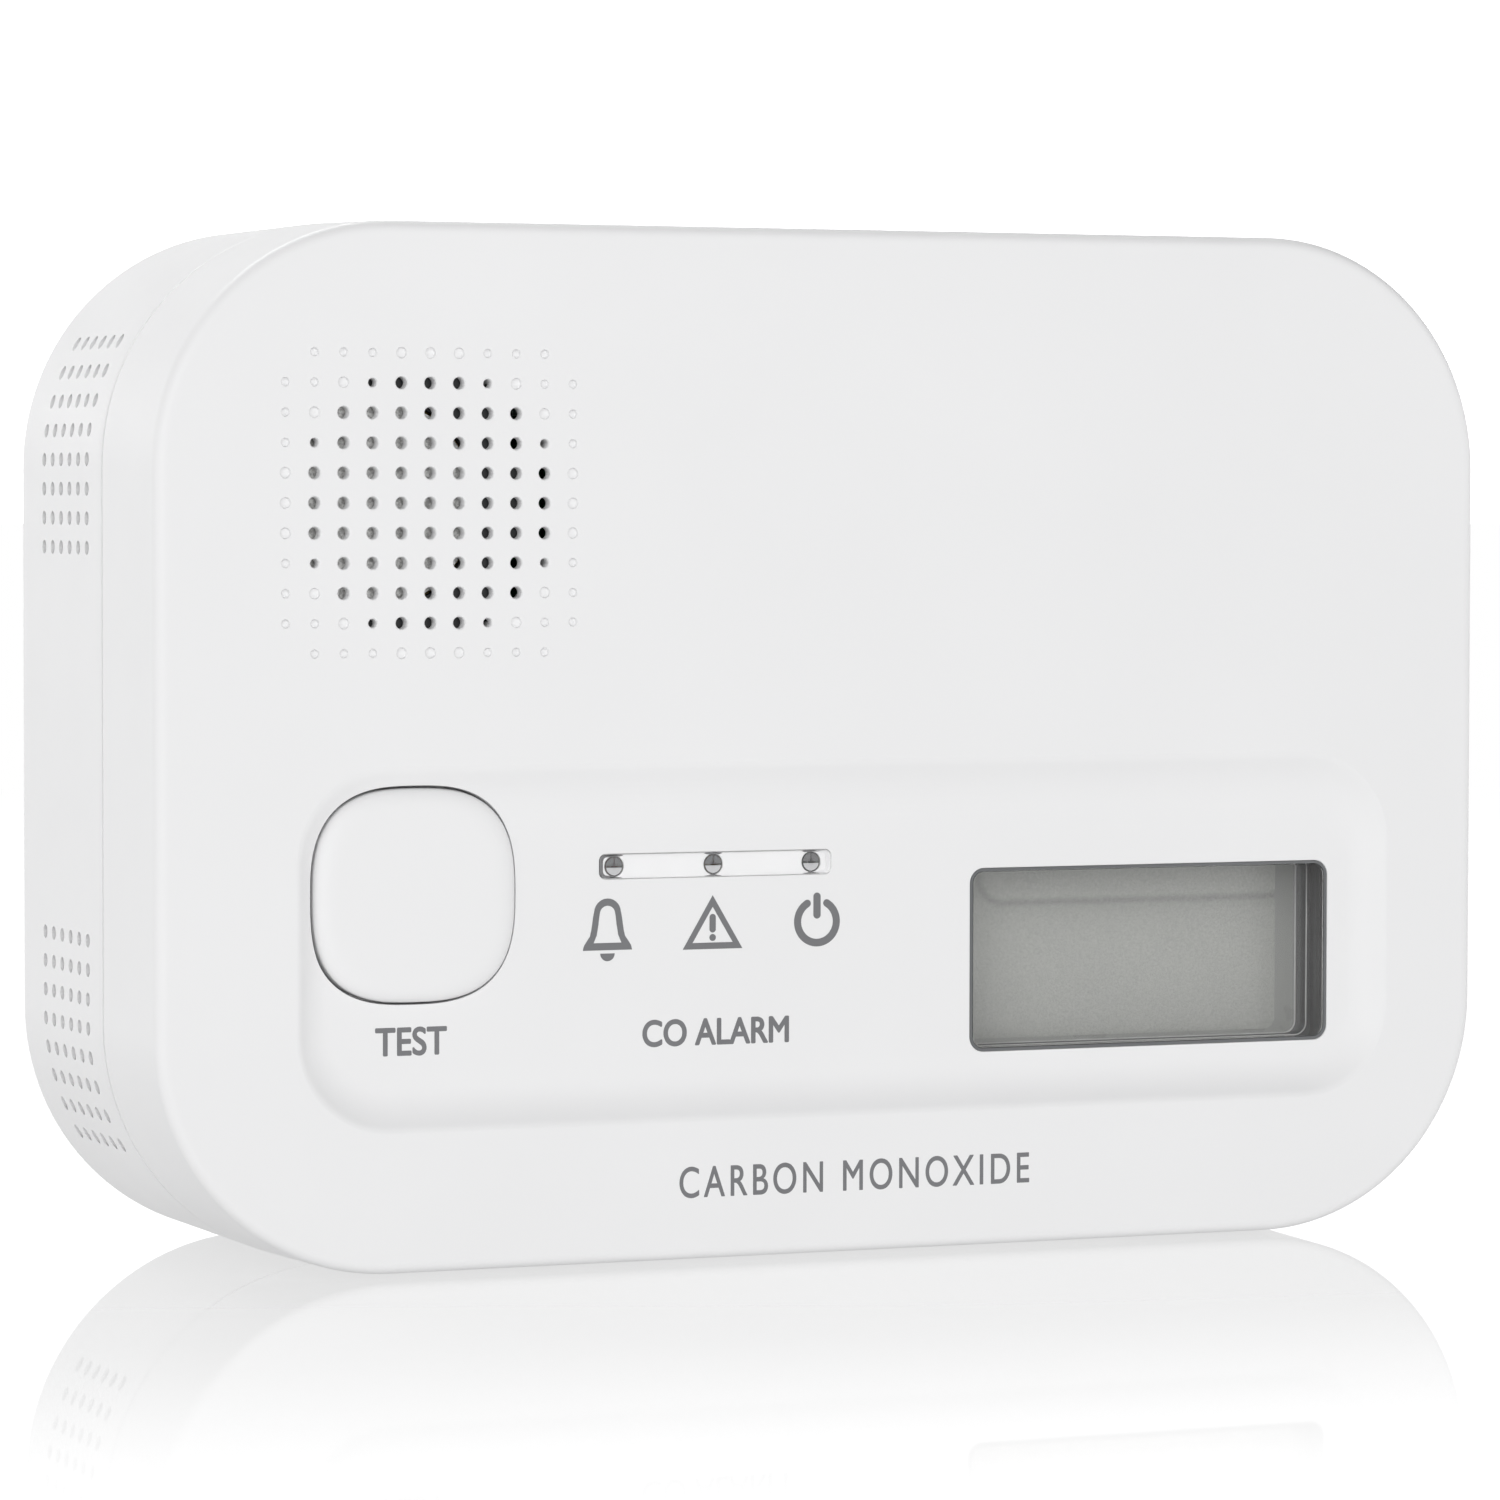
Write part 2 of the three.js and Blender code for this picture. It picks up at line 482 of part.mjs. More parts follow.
// A flat tab against the end wall of the bay, with a bump for a positive end.
function positiveTab(level, direction) {
  const z = BAY_Z + level * CELL.spacing / 2;
  const wallX = direction * (BAY.halfLength - GAP);
  const faceX = wallX - direction * CONTACT.thickness;
  const bumpX = faceX - direction * CONTACT.bumpHeight;
  return join([
    box(Math.min(wallX, faceX), Math.max(wallX, faceX), CELL.y - 6, CELL.y + 6,
      z - CONTACT.halfWidth, z + CONTACT.halfWidth),
    cylinderX(CELL.y, z, CONTACT.bumpRadius, Math.min(bumpX, wallX), Math.max(bumpX, wallX), 14),
  ]);
}

// A flat tab with a conical coil spring for a negative end.
function springTab(level, direction) {
  const z = BAY_Z + level * CELL.spacing / 2;
  const wallX = direction * (BAY.halfLength - GAP);
  const faceX = wallX - direction * CONTACT.thickness;
  const tipX = direction * (CELL.length / 2 - CELL_SHIFT + GAP + SPRING.wire);
  const coil = new THREE.CatmullRomCurve3(Array.from({ length: SPRING.bends + 1 }, (_, i) => {
    const share = i / SPRING.bends;
    const angle = share * SPRING.turns * 2 * Math.PI;
    const radius = THREE.MathUtils.lerp(SPRING.baseRadius, SPRING.tipRadius, share);
    return new THREE.Vector3(THREE.MathUtils.lerp(faceX, tipX, share),
      CELL.y + radius * Math.cos(angle), z + radius * Math.sin(angle));
  }));
  const section = new THREE.Shape(Array.from({ length: 5 }, (_, i) => {
    const angle = i / 5 * 2 * Math.PI;
    return new THREE.Vector2(SPRING.wire * Math.cos(angle), SPRING.wire * Math.sin(angle));
  }));
  const wire = new THREE.ExtrudeGeometry(section, { steps: 40, extrudePath: coil });
  return join([
    box(Math.min(wallX, faceX), Math.max(wallX, faceX), CELL.y - 6, CELL.y + 6,
      z - CONTACT.halfWidth, z + CONTACT.halfWidth),
    solid(wire),
  ]);
}

// The two contacts at -X each have a tail that goes through the floor of the bay to the circuit board.
function tail(level) {
  const z = BAY_Z + level * CELL.spacing / 2;
  const wallX = -BAY.halfLength + GAP;
  return box(wallX, wallX + CONTACT.thickness, BOARD_BACK_Y + GAP, CELL.y - 5,
    z - CONTACT.tailHalf, z + CONTACT.tailHalf);
}

function bridgeContact() {
  const wallX = BAY.halfLength - GAP;
  const strap = box(wallX - CONTACT.thickness, wallX, CELL.y - 2, CELL.y + 2,
    BAY_Z - CELL.spacing / 2, BAY_Z + CELL.spacing / 2);
  return join([positiveTab(1, 1), springTab(-1, 1), strap]);
}

// ---------- screws ----------
function screw(x, z, { radius, head, headLength }, seatY, tipY) {
  const endY = seatY + headLength;
  const slotHalf = 0.35;
  const slotReach = head * 0.7;
  const crossSlot = join([
    box(x - slotHalf, x + slotHalf, endY - 0.8, endY + 1, z - slotReach, z + slotReach),
    box(x - slotReach, x + slotReach, endY - 0.8, endY + 1, z - slotHalf, z + slotHalf),
  ]);
  return cylinderY(x, z, head, seatY, endY, 14)
    .add(cylinderY(x, z, radius, tipY, seatY + 0.1, 10))
    .subtract(crossSlot);
}

// ---------- the assembly ----------
const alarm = new THREE.Group();

function add(name, manifold, material) {
  const mesh = new THREE.Mesh(geometryOf(manifold), material);
  mesh.name = name;
  alarm.add(mesh);
}

add("front_cover", frontCover(), MATERIAL.casePlastic);
add("rear_cover", rearCover(), MATERIAL.casePlastic);
add("battery_door", batteryDoor(), MATERIAL.casePlastic);
add("test_button", testButton(), MATERIAL.casePlastic);
add("switch_body", switchBody(), MATERIAL.darkPlastic);
add("switch_plunger", switchPlunger(), MATERIAL.darkPlastic);
add("light_pipe", lightPipe(), MATERIAL.clear);
add("alarm_led", led(LED_X[0]), MATERIAL.redLens);
add("fault_led", led(LED_X[1]), MATERIAL.amberLens);
add("power_led", led(LED_X[2]), MATERIAL.greenLens);
add("display_window", displayWindow(), MATERIAL.clear);
add("display_holder", displayHolder(), MATERIAL.darkPlastic);
add("display_panel", displayPanel(), MATERIAL.displayGlass);
add("display_connector", displayConnector(), MATERIAL.rubber);
add("circuit_board", circuitBoard(), MATERIAL.board);
add("microcontroller", microcontroller(), MATERIAL.darkPlastic);
add("crystal", crystal(), MATERIAL.steel);
add("horn_coil", boardPart(-12, 53, 4.5, 8.5), MATERIAL.darkPlastic);
add("capacitor", boardPart(14, 44, 4, 10.5), MATERIAL.darkPlastic);
add("horn_housing", hornHousing(), MATERIAL.darkPlastic);
add("piezo_plate", piezoPlate(), MATERIAL.brass);
add("piezo_ceramic", piezoCeramic(), MATERIAL.ceramic);
add("horn_retainer", hornRetainer(), MATERIAL.darkPlastic);
add("sensor_body", boardPart(SENSOR.x, SENSOR.z, SENSOR.radius, SENSOR.length), MATERIAL.darkPlastic);
add("sensor_cap", sensorCap(), MATERIAL.steel);
add("sensor_filter", sensorFilter(), MATERIAL.filter);
add("cell_upper", cell(1, 1), MATERIAL.cellWrap);
add("cell_lower", cell(-1, -1), MATERIAL.cellWrap);
add("contact_bridge", bridgeContact(), MATERIAL.steel);
add("contact_negative", springTab(1, -1).add(tail(1)), MATERIAL.steel);
add("contact_positive", positiveTab(-1, -1).add(tail(-1)), MATERIAL.steel);
POSTS.forEach(([x, z], i) => {
  const seatY = CASE_SCREW.seatY + GAP;
  add(`case_screw_${i + 1}`, screw(x, z, CASE_SCREW, seatY, seatY - 11), MATERIAL.steel);
});
BOARD_POSTS.forEach(([x, z], i) => {
  const seatY = BOARD_BACK_Y + GAP;
  add(`board_screw_${i + 1}`, screw(x, z, BOARD_SCREW, seatY, seatY - BOARD_SCREW.length), MATERIAL.steel);
});

export default alarm;
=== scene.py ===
import math

import bmesh
import bpy
from mathutils import Matrix, Vector


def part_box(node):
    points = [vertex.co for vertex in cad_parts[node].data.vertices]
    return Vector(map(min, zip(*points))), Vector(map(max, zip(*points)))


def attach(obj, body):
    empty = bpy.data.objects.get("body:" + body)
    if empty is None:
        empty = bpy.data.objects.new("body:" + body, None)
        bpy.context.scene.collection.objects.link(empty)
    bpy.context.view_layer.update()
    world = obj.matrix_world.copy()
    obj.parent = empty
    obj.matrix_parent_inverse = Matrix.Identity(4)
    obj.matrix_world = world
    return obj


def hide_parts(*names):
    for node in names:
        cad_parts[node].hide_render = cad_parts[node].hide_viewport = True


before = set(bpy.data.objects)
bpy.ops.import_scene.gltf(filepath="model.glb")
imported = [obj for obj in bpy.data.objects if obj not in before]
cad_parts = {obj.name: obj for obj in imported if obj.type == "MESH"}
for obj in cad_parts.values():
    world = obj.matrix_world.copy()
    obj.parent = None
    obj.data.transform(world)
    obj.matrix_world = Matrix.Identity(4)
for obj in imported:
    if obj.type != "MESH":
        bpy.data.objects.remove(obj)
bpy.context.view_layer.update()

MM = 0.001


# ---------- sizes in mm, read from the frame where it holds them ----------
def box_mm(node):
    low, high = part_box(node)
    return low / MM, high / MM


def centre_mm(node):
    low, high = box_mm(node)
    return (low + high) / 2


rear_low, rear_high = box_mm("rear_cover")
front_low = box_mm("front_cover")[0]
HALF_WIDTH, HEIGHT = rear_high.x, rear_high.z
FACE_Y, BACK_Y = front_low.y, rear_high.y
GAP = 0.3
TONGUE_LENGTH = 1.8
REAR_RIM_Y = rear_low.y
FRONT_RIM_Y = REAR_RIM_Y - GAP
CORNER = 20.8
DRAFT = 0.3
EDGE = 1.0
WALL = 2.0
SIDE_WALL = 2.2
TONGUE_INSET = 1.2
FACE_LEFT = -HALF_WIDTH + DRAFT

DISH = (FACE_LEFT + 12.45, FACE_LEFT + 114.6, 12.4, 42.5)  # left, right, bottom, top
DISH_SLOPE = (2.9, -3.4, 3.6, -5.0)  # how far each edge moves in from the rim to the floor
DISH_CORNER = 8.0
DISH_DEPTH = 1.3
DISH_Y = FACE_Y + DISH_DEPTH
DISH_BACK_Y = DISH_Y + WALL

BUTTON_AT = centre_mm("test_button")
BUTTON_HALF = 8.8
BUTTON_HOLE_HALF = BUTTON_HALF + GAP + 0.1
CAP_HALF = BUTTON_HALF + 0.19
STEM_RADIUS = 2.4
BUTTON_POWER = 2.8  # 2 would make the button round, and more makes it squarer
BUTTON_PROUD = 0.8
CAP_EDGE = (1.7, 0.9)  # how far the soft edge of the cap reaches in and back
BUTTON_REST = (0.19, -0.12)  # how far the cap sits from the middle, across and up
BUTTON_HOLE = (0.05, -0.1)
WINDOW_AT = centre_mm("display_window")
WINDOW_SIZE = (35.1, 16.0)
WINDOW_CORNER = 1.3
SKIN_Y = DISH_Y + 0.4
SHOULDER = 1.2
BAR_AT = centre_mm("light_pipe")
BAR_SIZE = (21.5, 2.15)
BAR_CORNER = 0.6
BAR_POCKET = 0.5
LEG_RADIUS = 0.85
LEDS = {name: centre_mm(name) for name in ("alarm_led", "fault_led", "power_led")}
LEGS = {name: (led.x - 0.2, BAR_AT.z) for name, led in LEDS.items()}  # (x, z) of each leg of the light bar
LED_TIP_Y = box_mm("alarm_led")[0].y

GRILLE_AT = Vector((FACE_LEFT + 23.98, 0, 64.8))
GRILLE_WALL = 1.1
GRILLE_THINNED = 11.4
HORN_AT = centre_mm("horn_housing")
HORN_RADIUS = (box_mm("horn_housing")[1].x - box_mm("horn_housing")[0].x) / 2
GRILLE_PITCH = (2.55, 2.5)
GRILLE_REACH = (0, 2, 3, 4, 4, 4, 4, 4, 3, 2, 0)  # holes beside the middle one, row by row; 0 for no holes
GRILLE_SMALL = {(1, 2), (3, 4), (7, 4), (9, 2)}  # smaller holes, as (row, columns from the middle)
DIMPLES_INSIDE = {(1, 3), (2, 4), (8, 4), (9, 3)}  # wider dimples, in the same way
HOLE_RADIUS = 0.5
SMALL_HOLE_RADIUS = 0.36
DIMPLE_RADIUS = 0.46
SMALL_DIMPLE_RADIUS = 0.365

VENT_RADIUS = 0.6
VENT_PITCH = 2.5
VENT_ROWS = 8
VENT_COLUMNS = 6
VENT_FIRST_ROW = 16.65
VENT_REAR_Y = 11.7
VENT_REACH = 6.9

POSTS = [(x, z) for x in (-51.5, 51.5) for z in (78.0, 10.6)]
POST_RADIUS, POST_LENGTH = 3.0, 15.2
BORE_RADIUS, BORE_LENGTH = 1.35, 14.0
TUBE_RADIUS, TUBE_FRONT_Y = 3.4, -1.7
WELL_FRONT_Y = -2.8
WELL_DEPTHS = (4.7, 4.8, 21.4, 21.8)  # end of the bore, start and end of the head's bore, its mouth
BOARD_FRONT_Y = box_mm("circuit_board")[0].y

BAY = {"half": 29.6, "bottom": 14.4, "top": 45.6, "floor": 1.6, "wall": 1.5}
BAY_Z = (BAY["bottom"] + BAY["top"]) / 2
DOOR_HALF = (33.4, 17.8)
DOOR_THICKNESS = 1.7
DOOR_RIB_Z = 14.6
DOOR_GRIPS = (-28.2, -26.6, -25.0, -23.4, -21.8)
BARREL = 1.1
PIN = 0.7
HINGE_X = DOOR_HALF[0] - BARREL
HINGE_Y = BACK_Y - BARREL
KEYHOLE = {"x": 40.0, "z": 63.0, "head": 4.2, "slot": 2.1, "rise": 7.5}
CELL_RADIUS = 7.15
CELL_Y = centre_mm("cell_upper").y
SCREW_HEAD = 2.4


# ---------- outlines, as (x, z) points anticlockwise from the front ----------
def rounded(left, right, bottom, top, corner, steps=12):
    centres = (
        (right - corner, top - corner), (left + corner, top - corner),
        (left + corner, bottom + corner), (right - corner, bottom + corner),
    )
    points = []
    for quarter, (x, z) in enumerate(centres):
        for step in range(steps + 1):
            angle = math.radians(90 * (quarter + step / steps))
            points.append((x + corner * math.cos(angle), z + corner * math.sin(angle)))
    return points


def rounded_at(centre, size, corner, out=0.0):
    """A rounded rectangle of size (width, height) round centre, moved outward by out on every side."""
    half_x, half_z = size[0] / 2 + out, size[1] / 2 + out
    return rounded(centre.x - half_x, centre.x + half_x, centre.z - half_z, centre.z + half_z, corner, 8)


def case_outline(inset):
    return rounded(-HALF_WIDTH + inset, HALF_WIDTH - inset, inset, HEIGHT - inset, CORNER - inset, 32)


def soft_square(half, across=0.0, up=0.0):
    points = []
    count = 96
    for i in range(count):
        angle = i / count * 2 * math.pi
        c, s = math.cos(angle), math.sin(angle)
        points.append((BUTTON_AT.x + across + half * math.copysign(abs(c) ** (2 / BUTTON_POWER), c),
                       BUTTON_AT.z + up + half * math.copysign(abs(s) ** (2 / BUTTON_POWER), s)))
    return points


def quarter_round(steps):
    """(inset, depth) shares of a rounded edge, from the flat face round to the side."""
    angles = [math.radians(90 * i / steps) for i in range(steps + 1)]
    return [(1 - math.sin(angle), 1 - math.cos(angle)) for angle in angles]


# ---------- solids, as (points, faces) ----------
def skin(count, rings):
    """The faces of a closed skin over rings of count points."""
    last = (rings - 1) * count
    faces = [tuple(range(count)), tuple(last + i for i in reversed(range(count)))]
    for ring in range(0, last, count):
        for i in range(count):
            after = (i + 1) % count
            faces.append((ring + i, ring + count + i, ring + count + after, ring + after))
    return faces


def loft(sections):
    """A closed solid through outlines of as many points each: sections lists (outline, y), front first."""
    points = [(x, y, z) for outline, y in sections for x, z in outline]
    return points, skin(len(sections[0][0]), len(sections))


def plate(outline, front_y, back_y):
    """A flat plate with one outline through its whole thickness."""
    return loft([(outline, front_y), (outline, back_y)])


def stepped(centre, size, corner, steps):
    """A rounded rectangle that widens or narrows on its way back: steps lists (outward, y)."""
    return loft([(rounded_at(centre, size, corner + out, out), y) for out, y in steps])


def case_loft(steps):
    """A solid with the outline of the case: steps lists (inset, y)."""
    return loft([(case_outline(inset), y) for inset, y in steps])


AXES = {"X": (2, 1, 0), "Y": (0, 2, 1), "Z": (1, 0, 2)}


def turned(profile, at, axis="Y", count=24):
    """A body of revolution: profile lists (radius, distance along the axis), distance rising."""
    u, v, w = AXES[axis]
    points = []
    for radius, distance in profile:
        for i in range(count):
            angle = i / count * 2 * math.pi
            point = list(at)
            point[u] += radius * math.cos(angle)
            point[v] += radius * math.sin(angle)
            point[w] += distance
            points.append(tuple(point))
    return points, skin(count, len(profile))


def rod(radius, length, at, axis="Y", count=24):
    return turned([(radius, 0), (radius, length)], at, axis, count)


def block(x0, x1, y0, y1, z0, z1, rounding=0.0, segments=3):
    """A box whose edges are rounded."""
    bm = bmesh.new()
    bmesh.ops.create_cube(bm, size=1)
    for vert in bm.verts:
        vert.co = Vector((x0 + (vert.co.x + 0.5) * (x1 - x0), y0 + (vert.co.y + 0.5) * (y1 - y0),
                          z0 + (vert.co.z + 0.5) * (z1 - z0)))
    if rounding:
        bmesh.ops.bevel(bm, geom=list(bm.edges), offset=rounding, segments=segments, affect="EDGES",
                        profile=0.5)
    return from_bmesh(bm)


def from_bmesh(bm):
    bm.verts.index_update()
    points = [tuple(vert.co) for vert in bm.verts]
    faces = [tuple(vert.index for vert in face.verts) for face in bm.faces]
    bm.free()
    return points, faces


def together(parts):
    """Several solids that don't touch, as one."""
    points, faces = [], []
    for part_points, part_faces in parts:
        start = len(points)
        points.extend(part_points)
        faces.extend(tuple(start + i for i in face) for face in part_faces)
    return points, faces


def rods_at(places, radius, length, y, count=24):
    """Equal rods from y toward the back, one at each (x, z)."""
    return together([rod(radius, length, (x, y, z), count=count) for x, z in places])


def tube(path, radius, sides):
    """A round wire along a path of points, with its ends closed."""
    path = [Vector(p) for p in path]
    tangents = [(path[min(i + 1, len(path) - 1)] - path[max(i - 1, 0)]).normalized()
                for i in range(len(path))]
    across = tangents[0].orthogonal().normalized()
    points = []
    for centre, tangent in zip(path, tangents):
        across = (across - tangent * across.dot(tangent)).normalized()
        up = tangent.cross(across)
        for i in range(sides):
            angle = i / sides * 2 * math.pi
            points.append(tuple(centre + radius * (across * math.cos(angle) - up * math.sin(angle))))
    return points, skin(sides, len(path))


# ---------- booleans ----------
def mesh_of(part, name="part"):
    mesh = bpy.data.meshes.new(name)
    mesh.from_pydata(part[0], [], part[1])
    mesh.update()
    return mesh


def evaluated(made):
    view = bpy.context.evaluated_depsgraph_get()
    return bpy.data.meshes.new_from_object(made.evaluated_get(view), depsgraph=view)


def curve_mesh(curve):
    shown = bpy.data.objects.new(curve.name, curve)
    bpy.context.scene.collection.objects.link(shown)
    mesh = evaluated(shown)
    bpy.data.objects.remove(shown)
    return mesh


def carved(base, *steps):
    """Applies steps ("cut" or "join", solid) to base in order and gives the resulting mesh."""
    scene = bpy.context.scene.collection
    body = bpy.data.objects.new("carving", mesh_of(base))
    scene.objects.link(body)
    tools = []
    for kind, part in steps:
        tool = bpy.data.objects.new("tool", mesh_of(part))
        scene.objects.link(tool)
        tools.append(tool)
        modifier = body.modifiers.new(kind, "BOOLEAN")
        modifier.operation = {"cut": "DIFFERENCE", "join": "UNION"}[kind]
        modifier.solver = "MANIFOLD"
        modifier.object = tool
    mesh = evaluated(body)
    for made in (body, *tools):
        old = made.data
        bpy.data.objects.remove(made)
        bpy.data.meshes.remove(old)
    return mesh


# ---------- pieces ----------
SHARP_ANGLE = 28  # edges that turn by more than this many degrees stay sharp


def piece(name, shape, materials, body, replaces=(), weighted=True):
    """Places a solid or a mesh in metres as a named piece that rides on a CAD body."""
    mesh = mesh_of(shape, name) if isinstance(shape, tuple) else shape
    mesh.name = name
    mesh.transform(Matrix.Scale(MM, 4))
    mesh.shade_smooth()
    mesh.set_sharp_from_angle(angle=math.radians(SHARP_ANGLE))
    mesh.materials.clear()
    for finish in materials if isinstance(materials, (list, tuple)) else [materials]:
        mesh.materials.append(finish)
    made = bpy.data.objects.new(name, mesh)
    bpy.context.scene.collection.objects.link(made)
    if weighted:
        modifier = made.modifiers.new("flat faces stay flat", "WEIGHTED_NORMAL")
        modifier.keep_sharp = True
    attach(made, body)
    if replaces:
        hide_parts(*replaces)
    return made


# ---------- materials ----------
def base_material(name, color, roughness, metallic=0.0, **sockets):
    made = bpy.data.materials.new(name)
    made.use_nodes = True
    shader = made.node_tree.nodes["Principled BSDF"]
    shader.inputs["Base Color"].default_value = (*color, 1)
    shader.inputs["Roughness"].default_value = roughness
    shader.inputs["Metallic"].default_value = metallic
    for socket, value in sockets.items():
        shader.inputs[socket.replace("_", " ")].default_value = value
    return made, made.node_tree, shader


def noise(tree, scale, detail=2.0, roughness=0.5, stretch=(1, 1, 1)):
    """A noise over the object's own coordinates. scale counts features for each metre."""
    coordinates = tree.nodes.new("ShaderNodeTexCoord")
    mapping = tree.nodes.new("ShaderNodeMapping")
    mapping.inputs["Scale"].default_value = stretch
    texture = tree.nodes.new("ShaderNodeTexNoise")
    texture.inputs["Scale"].default_value = scale
    texture.inputs["Detail"].default_value = detail
    texture.inputs["Roughness"].default_value = roughness
    tree.links.new(coordinates.outputs["Object"], mapping.inputs["Vector"])
    tree.links.new(mapping.outputs["Vector"], texture.inputs["Vector"])
    return texture.outputs["Fac"]


def maths(tree, operation, *values):
    node = tree.nodes.new("ShaderNodeMath")
    node.operation = operation
    for socket, value in zip(node.inputs, values):
        if isinstance(value, (int, float)):
            socket.default_value = value
        else:
            tree.links.new(value, socket)
    return node.outputs["Value"]


def length_of(tree, across, up):
    return maths(tree, "SQRT", maths(tree, "ADD", maths(tree, "MULTIPLY", across, across),
                                     maths(tree, "MULTIPLY", up, up)))


def graded(tree, factor, stops, interpolation="LINEAR"):
    """A colour ramp: stops lists (position, colour)."""
    made = tree.nodes.new("ShaderNodeValToRGB")
    made.color_ramp.interpolation = interpolation
    elements = made.color_ramp.elements
    while len(elements) < len(stops):
        elements.new(0.5)
    for element, (position, color) in zip(elements, stops):
        element.position = position
        element.color = (*color, 1)
    tree.links.new(factor, made.inputs["Fac"])
    return made.outputs["Color"]


def ramp(tree, factor, low, high, start=0.3, end=0.7):
    return graded(tree, factor, ((start, low), (end, high)))


def greys(stops):
    return [(position, (grey, grey, grey)) for position, grey in stops]


def spread(tree, factor, low, high, start=0.3, end=0.7, interpolation="LINEAR"):
    made = tree.nodes.new("ShaderNodeMapRange")
    made.interpolation_type = interpolation
    for name, value in (("From Min", start), ("From Max", end), ("To Min", low), ("To Max", high)):
        made.inputs[name].default_value = value
    tree.links.new(factor, made.inputs["Value"])
    return made.outputs["Result"]


def bumped(tree, shader, layers):
    """layers: (height socket, strength, depth in metres), coarse first."""
    normal = None
    for height, strength, depth in layers:
        bump = tree.nodes.new("ShaderNodeBump")
        bump.inputs["Strength"].default_value = strength
        bump.inputs["Distance"].default_value = depth
        tree.links.new(height, bump.inputs["Height"])
        if normal is not None:
            tree.links.new(normal, bump.inputs["Normal"])
        normal = bump.outputs["Normal"]
    tree.links.new(normal, shader.inputs["Normal"])


def moulded(name, color, roughness, tint, grain=4200, grain_depth=0.000008, **sockets):
    """Moulded plastic: a soft drift of colour and gloss, and a fine spark-eroded grain."""
    made, tree, shader = base_material(name, color, roughness, **sockets)
    low = [max(0, c * (1 - tint)) for c in color]
    high = [min(1, c * (1 + tint)) for c in color]
    tree.links.new(ramp(tree, noise(tree, 45, 3), low, high), shader.inputs["Base Color"])
    tree.links.new(spread(tree, noise(tree, 160, 4), roughness - 0.04, roughness + 0.05),
                   shader.inputs["Roughness"])
    bumped(tree, shader, [(noise(tree, 380, 2), 0.12, 0.00004), (noise(tree, grain, 3), 0.5, grain_depth)])
    return made


def polished_clear(name, color):
    made, tree, shader = base_material(name, color, 0.02, Transmission_Weight=1.0, IOR=1.49)
    tree.links.new(spread(tree, noise(tree, 500, 3), 0.0, 0.05), shader.inputs["Roughness"])
    bumped(tree, shader, [(noise(tree, 120, 2), 0.05, 0.00003)])
    return made


def metal(name, color, roughness):
    """Plate or sheet with a fine brushed grain."""
    grain, stretch = 2500, (1, 1, 12)
    made, tree, shader = base_material(name, color, roughness, metallic=1.0)
    low = [c * 0.9 for c in color]
    tree.links.new(ramp(tree, noise(tree, 300, 4), low, color), shader.inputs["Base Color"])
    tree.links.new(spread(tree, noise(tree, grain, 3, stretch=stretch), roughness - 0.07, roughness + 0.1),
                   shader.inputs["Roughness"])
    bumped(tree, shader, [(noise(tree, grain, 2, stretch=stretch), 0.15, 0.00001)])
    return made


WHITE = moulded("white_abs", (0.785, 0.785, 0.79), 0.45, tint=0.008, Specular_IOR_Level=0.3)
DARK = moulded("black_abs", (0.035, 0.036, 0.038), 0.5, tint=0.1)
BUTTON_WHITE = moulded("button_abs", (0.785, 0.785, 0.79), 0.42, tint=0.006, Specular_IOR_Level=0.35)
CLEAR = polished_clear("clear_acrylic", (0.985, 0.99, 0.99))
PIPE_CLEAR = polished_clear("bright_acrylic", (1.0, 1.0, 1.0))
STEEL = metal("nickel_plate", (0.66, 0.65, 0.62), 0.25)
BRASS = metal("brass_sheet", (0.72, 0.53, 0.24), 0.3)
INK = moulded("grey_ink", (0.155, 0.157, 0.165), 0.5, grain=9000, grain_depth=0.000004, tint=0.05)
HOLDER_GREY = moulded("holder_abs", (0.06, 0.06, 0.06), 0.45, tint=0.08)
# A mid grey for painted highlights along the edges of the display frame.
HIGHLIGHT_GREY = moulded("painted_highlight_grey", (0.5, 0.5, 0.49), 0.35, tint=0.03)
REFLECTOR = moulded("white_reflector", (0.78, 0.78, 0.785), 0.5, tint=0.005)
# Flat greys for painted shade, painted light and painted reflections seen through the light bar.
PAINTED_SHADE_DARK = moulded("painted_shade_dark", (0.11, 0.11, 0.115), 0.4, tint=0.15)
PAINTED_LIGHT_GREY = moulded("painted_light_grey", (0.5, 0.5, 0.51), 0.4, tint=0.1)
PAINTED_SHADE_FAINT = moulded("painted_shade_faint", (0.7, 0.7, 0.71), 0.4, tint=0.05)
RUBBER = moulded("grey_rubber", (0.13, 0.135, 0.14), 0.8, grain=2500, tint=0.08)
FILTER = moulded("filter_felt", (0.78, 0.78, 0.74), 0.95, grain=1500, grain_depth=0.00006, tint=0.05)


def ceramic_material():
    """Silvered ceramic: a coarse grain of bright and dull crystals."""
    made, tree, shader = base_material("silvered_ceramic", (0.7, 0.7, 0.69), 0.45, metallic=0.25)
    tree.links.new(ramp(tree, noise(tree, 3500, 4, 0.7), (0.42, 0.42, 0.41), (0.92, 0.92, 0.9), 0.4, 0.62),
                   shader.inputs["Base Color"])
    bumped(tree, shader, [(noise(tree, 3500, 4, 0.7), 0.4, 0.00005)])
    return made


def board_material():
    """Green solder resist with darker tracks showing through it."""
    made, tree, shader = base_material("solder_resist", (0.02, 0.13, 0.05), 0.35, Coat_Weight=0.4)
    tracks = ramp(tree, noise(tree, 260, 1, stretch=(1, 1, 3)), (0.012, 0.09, 0.035), (0.03, 0.19, 0.07),
                  0.49, 0.51)
    tree.links.new(tracks, shader.inputs["Base Color"])
    bumped(tree, shader, [(noise(tree, 260, 1, stretch=(1, 1, 3)), 0.2, 0.00003)])
    return made


def lens_material(name, color):
    made, tree, shader = base_material(name, color, 0.15, Transmission_Weight=0.55, IOR=1.5)
    tree.links.new(ramp(tree, noise(tree, 900, 2), [c * 0.8 for c in color], color),
                   shader.inputs["Base Color"])
    return made


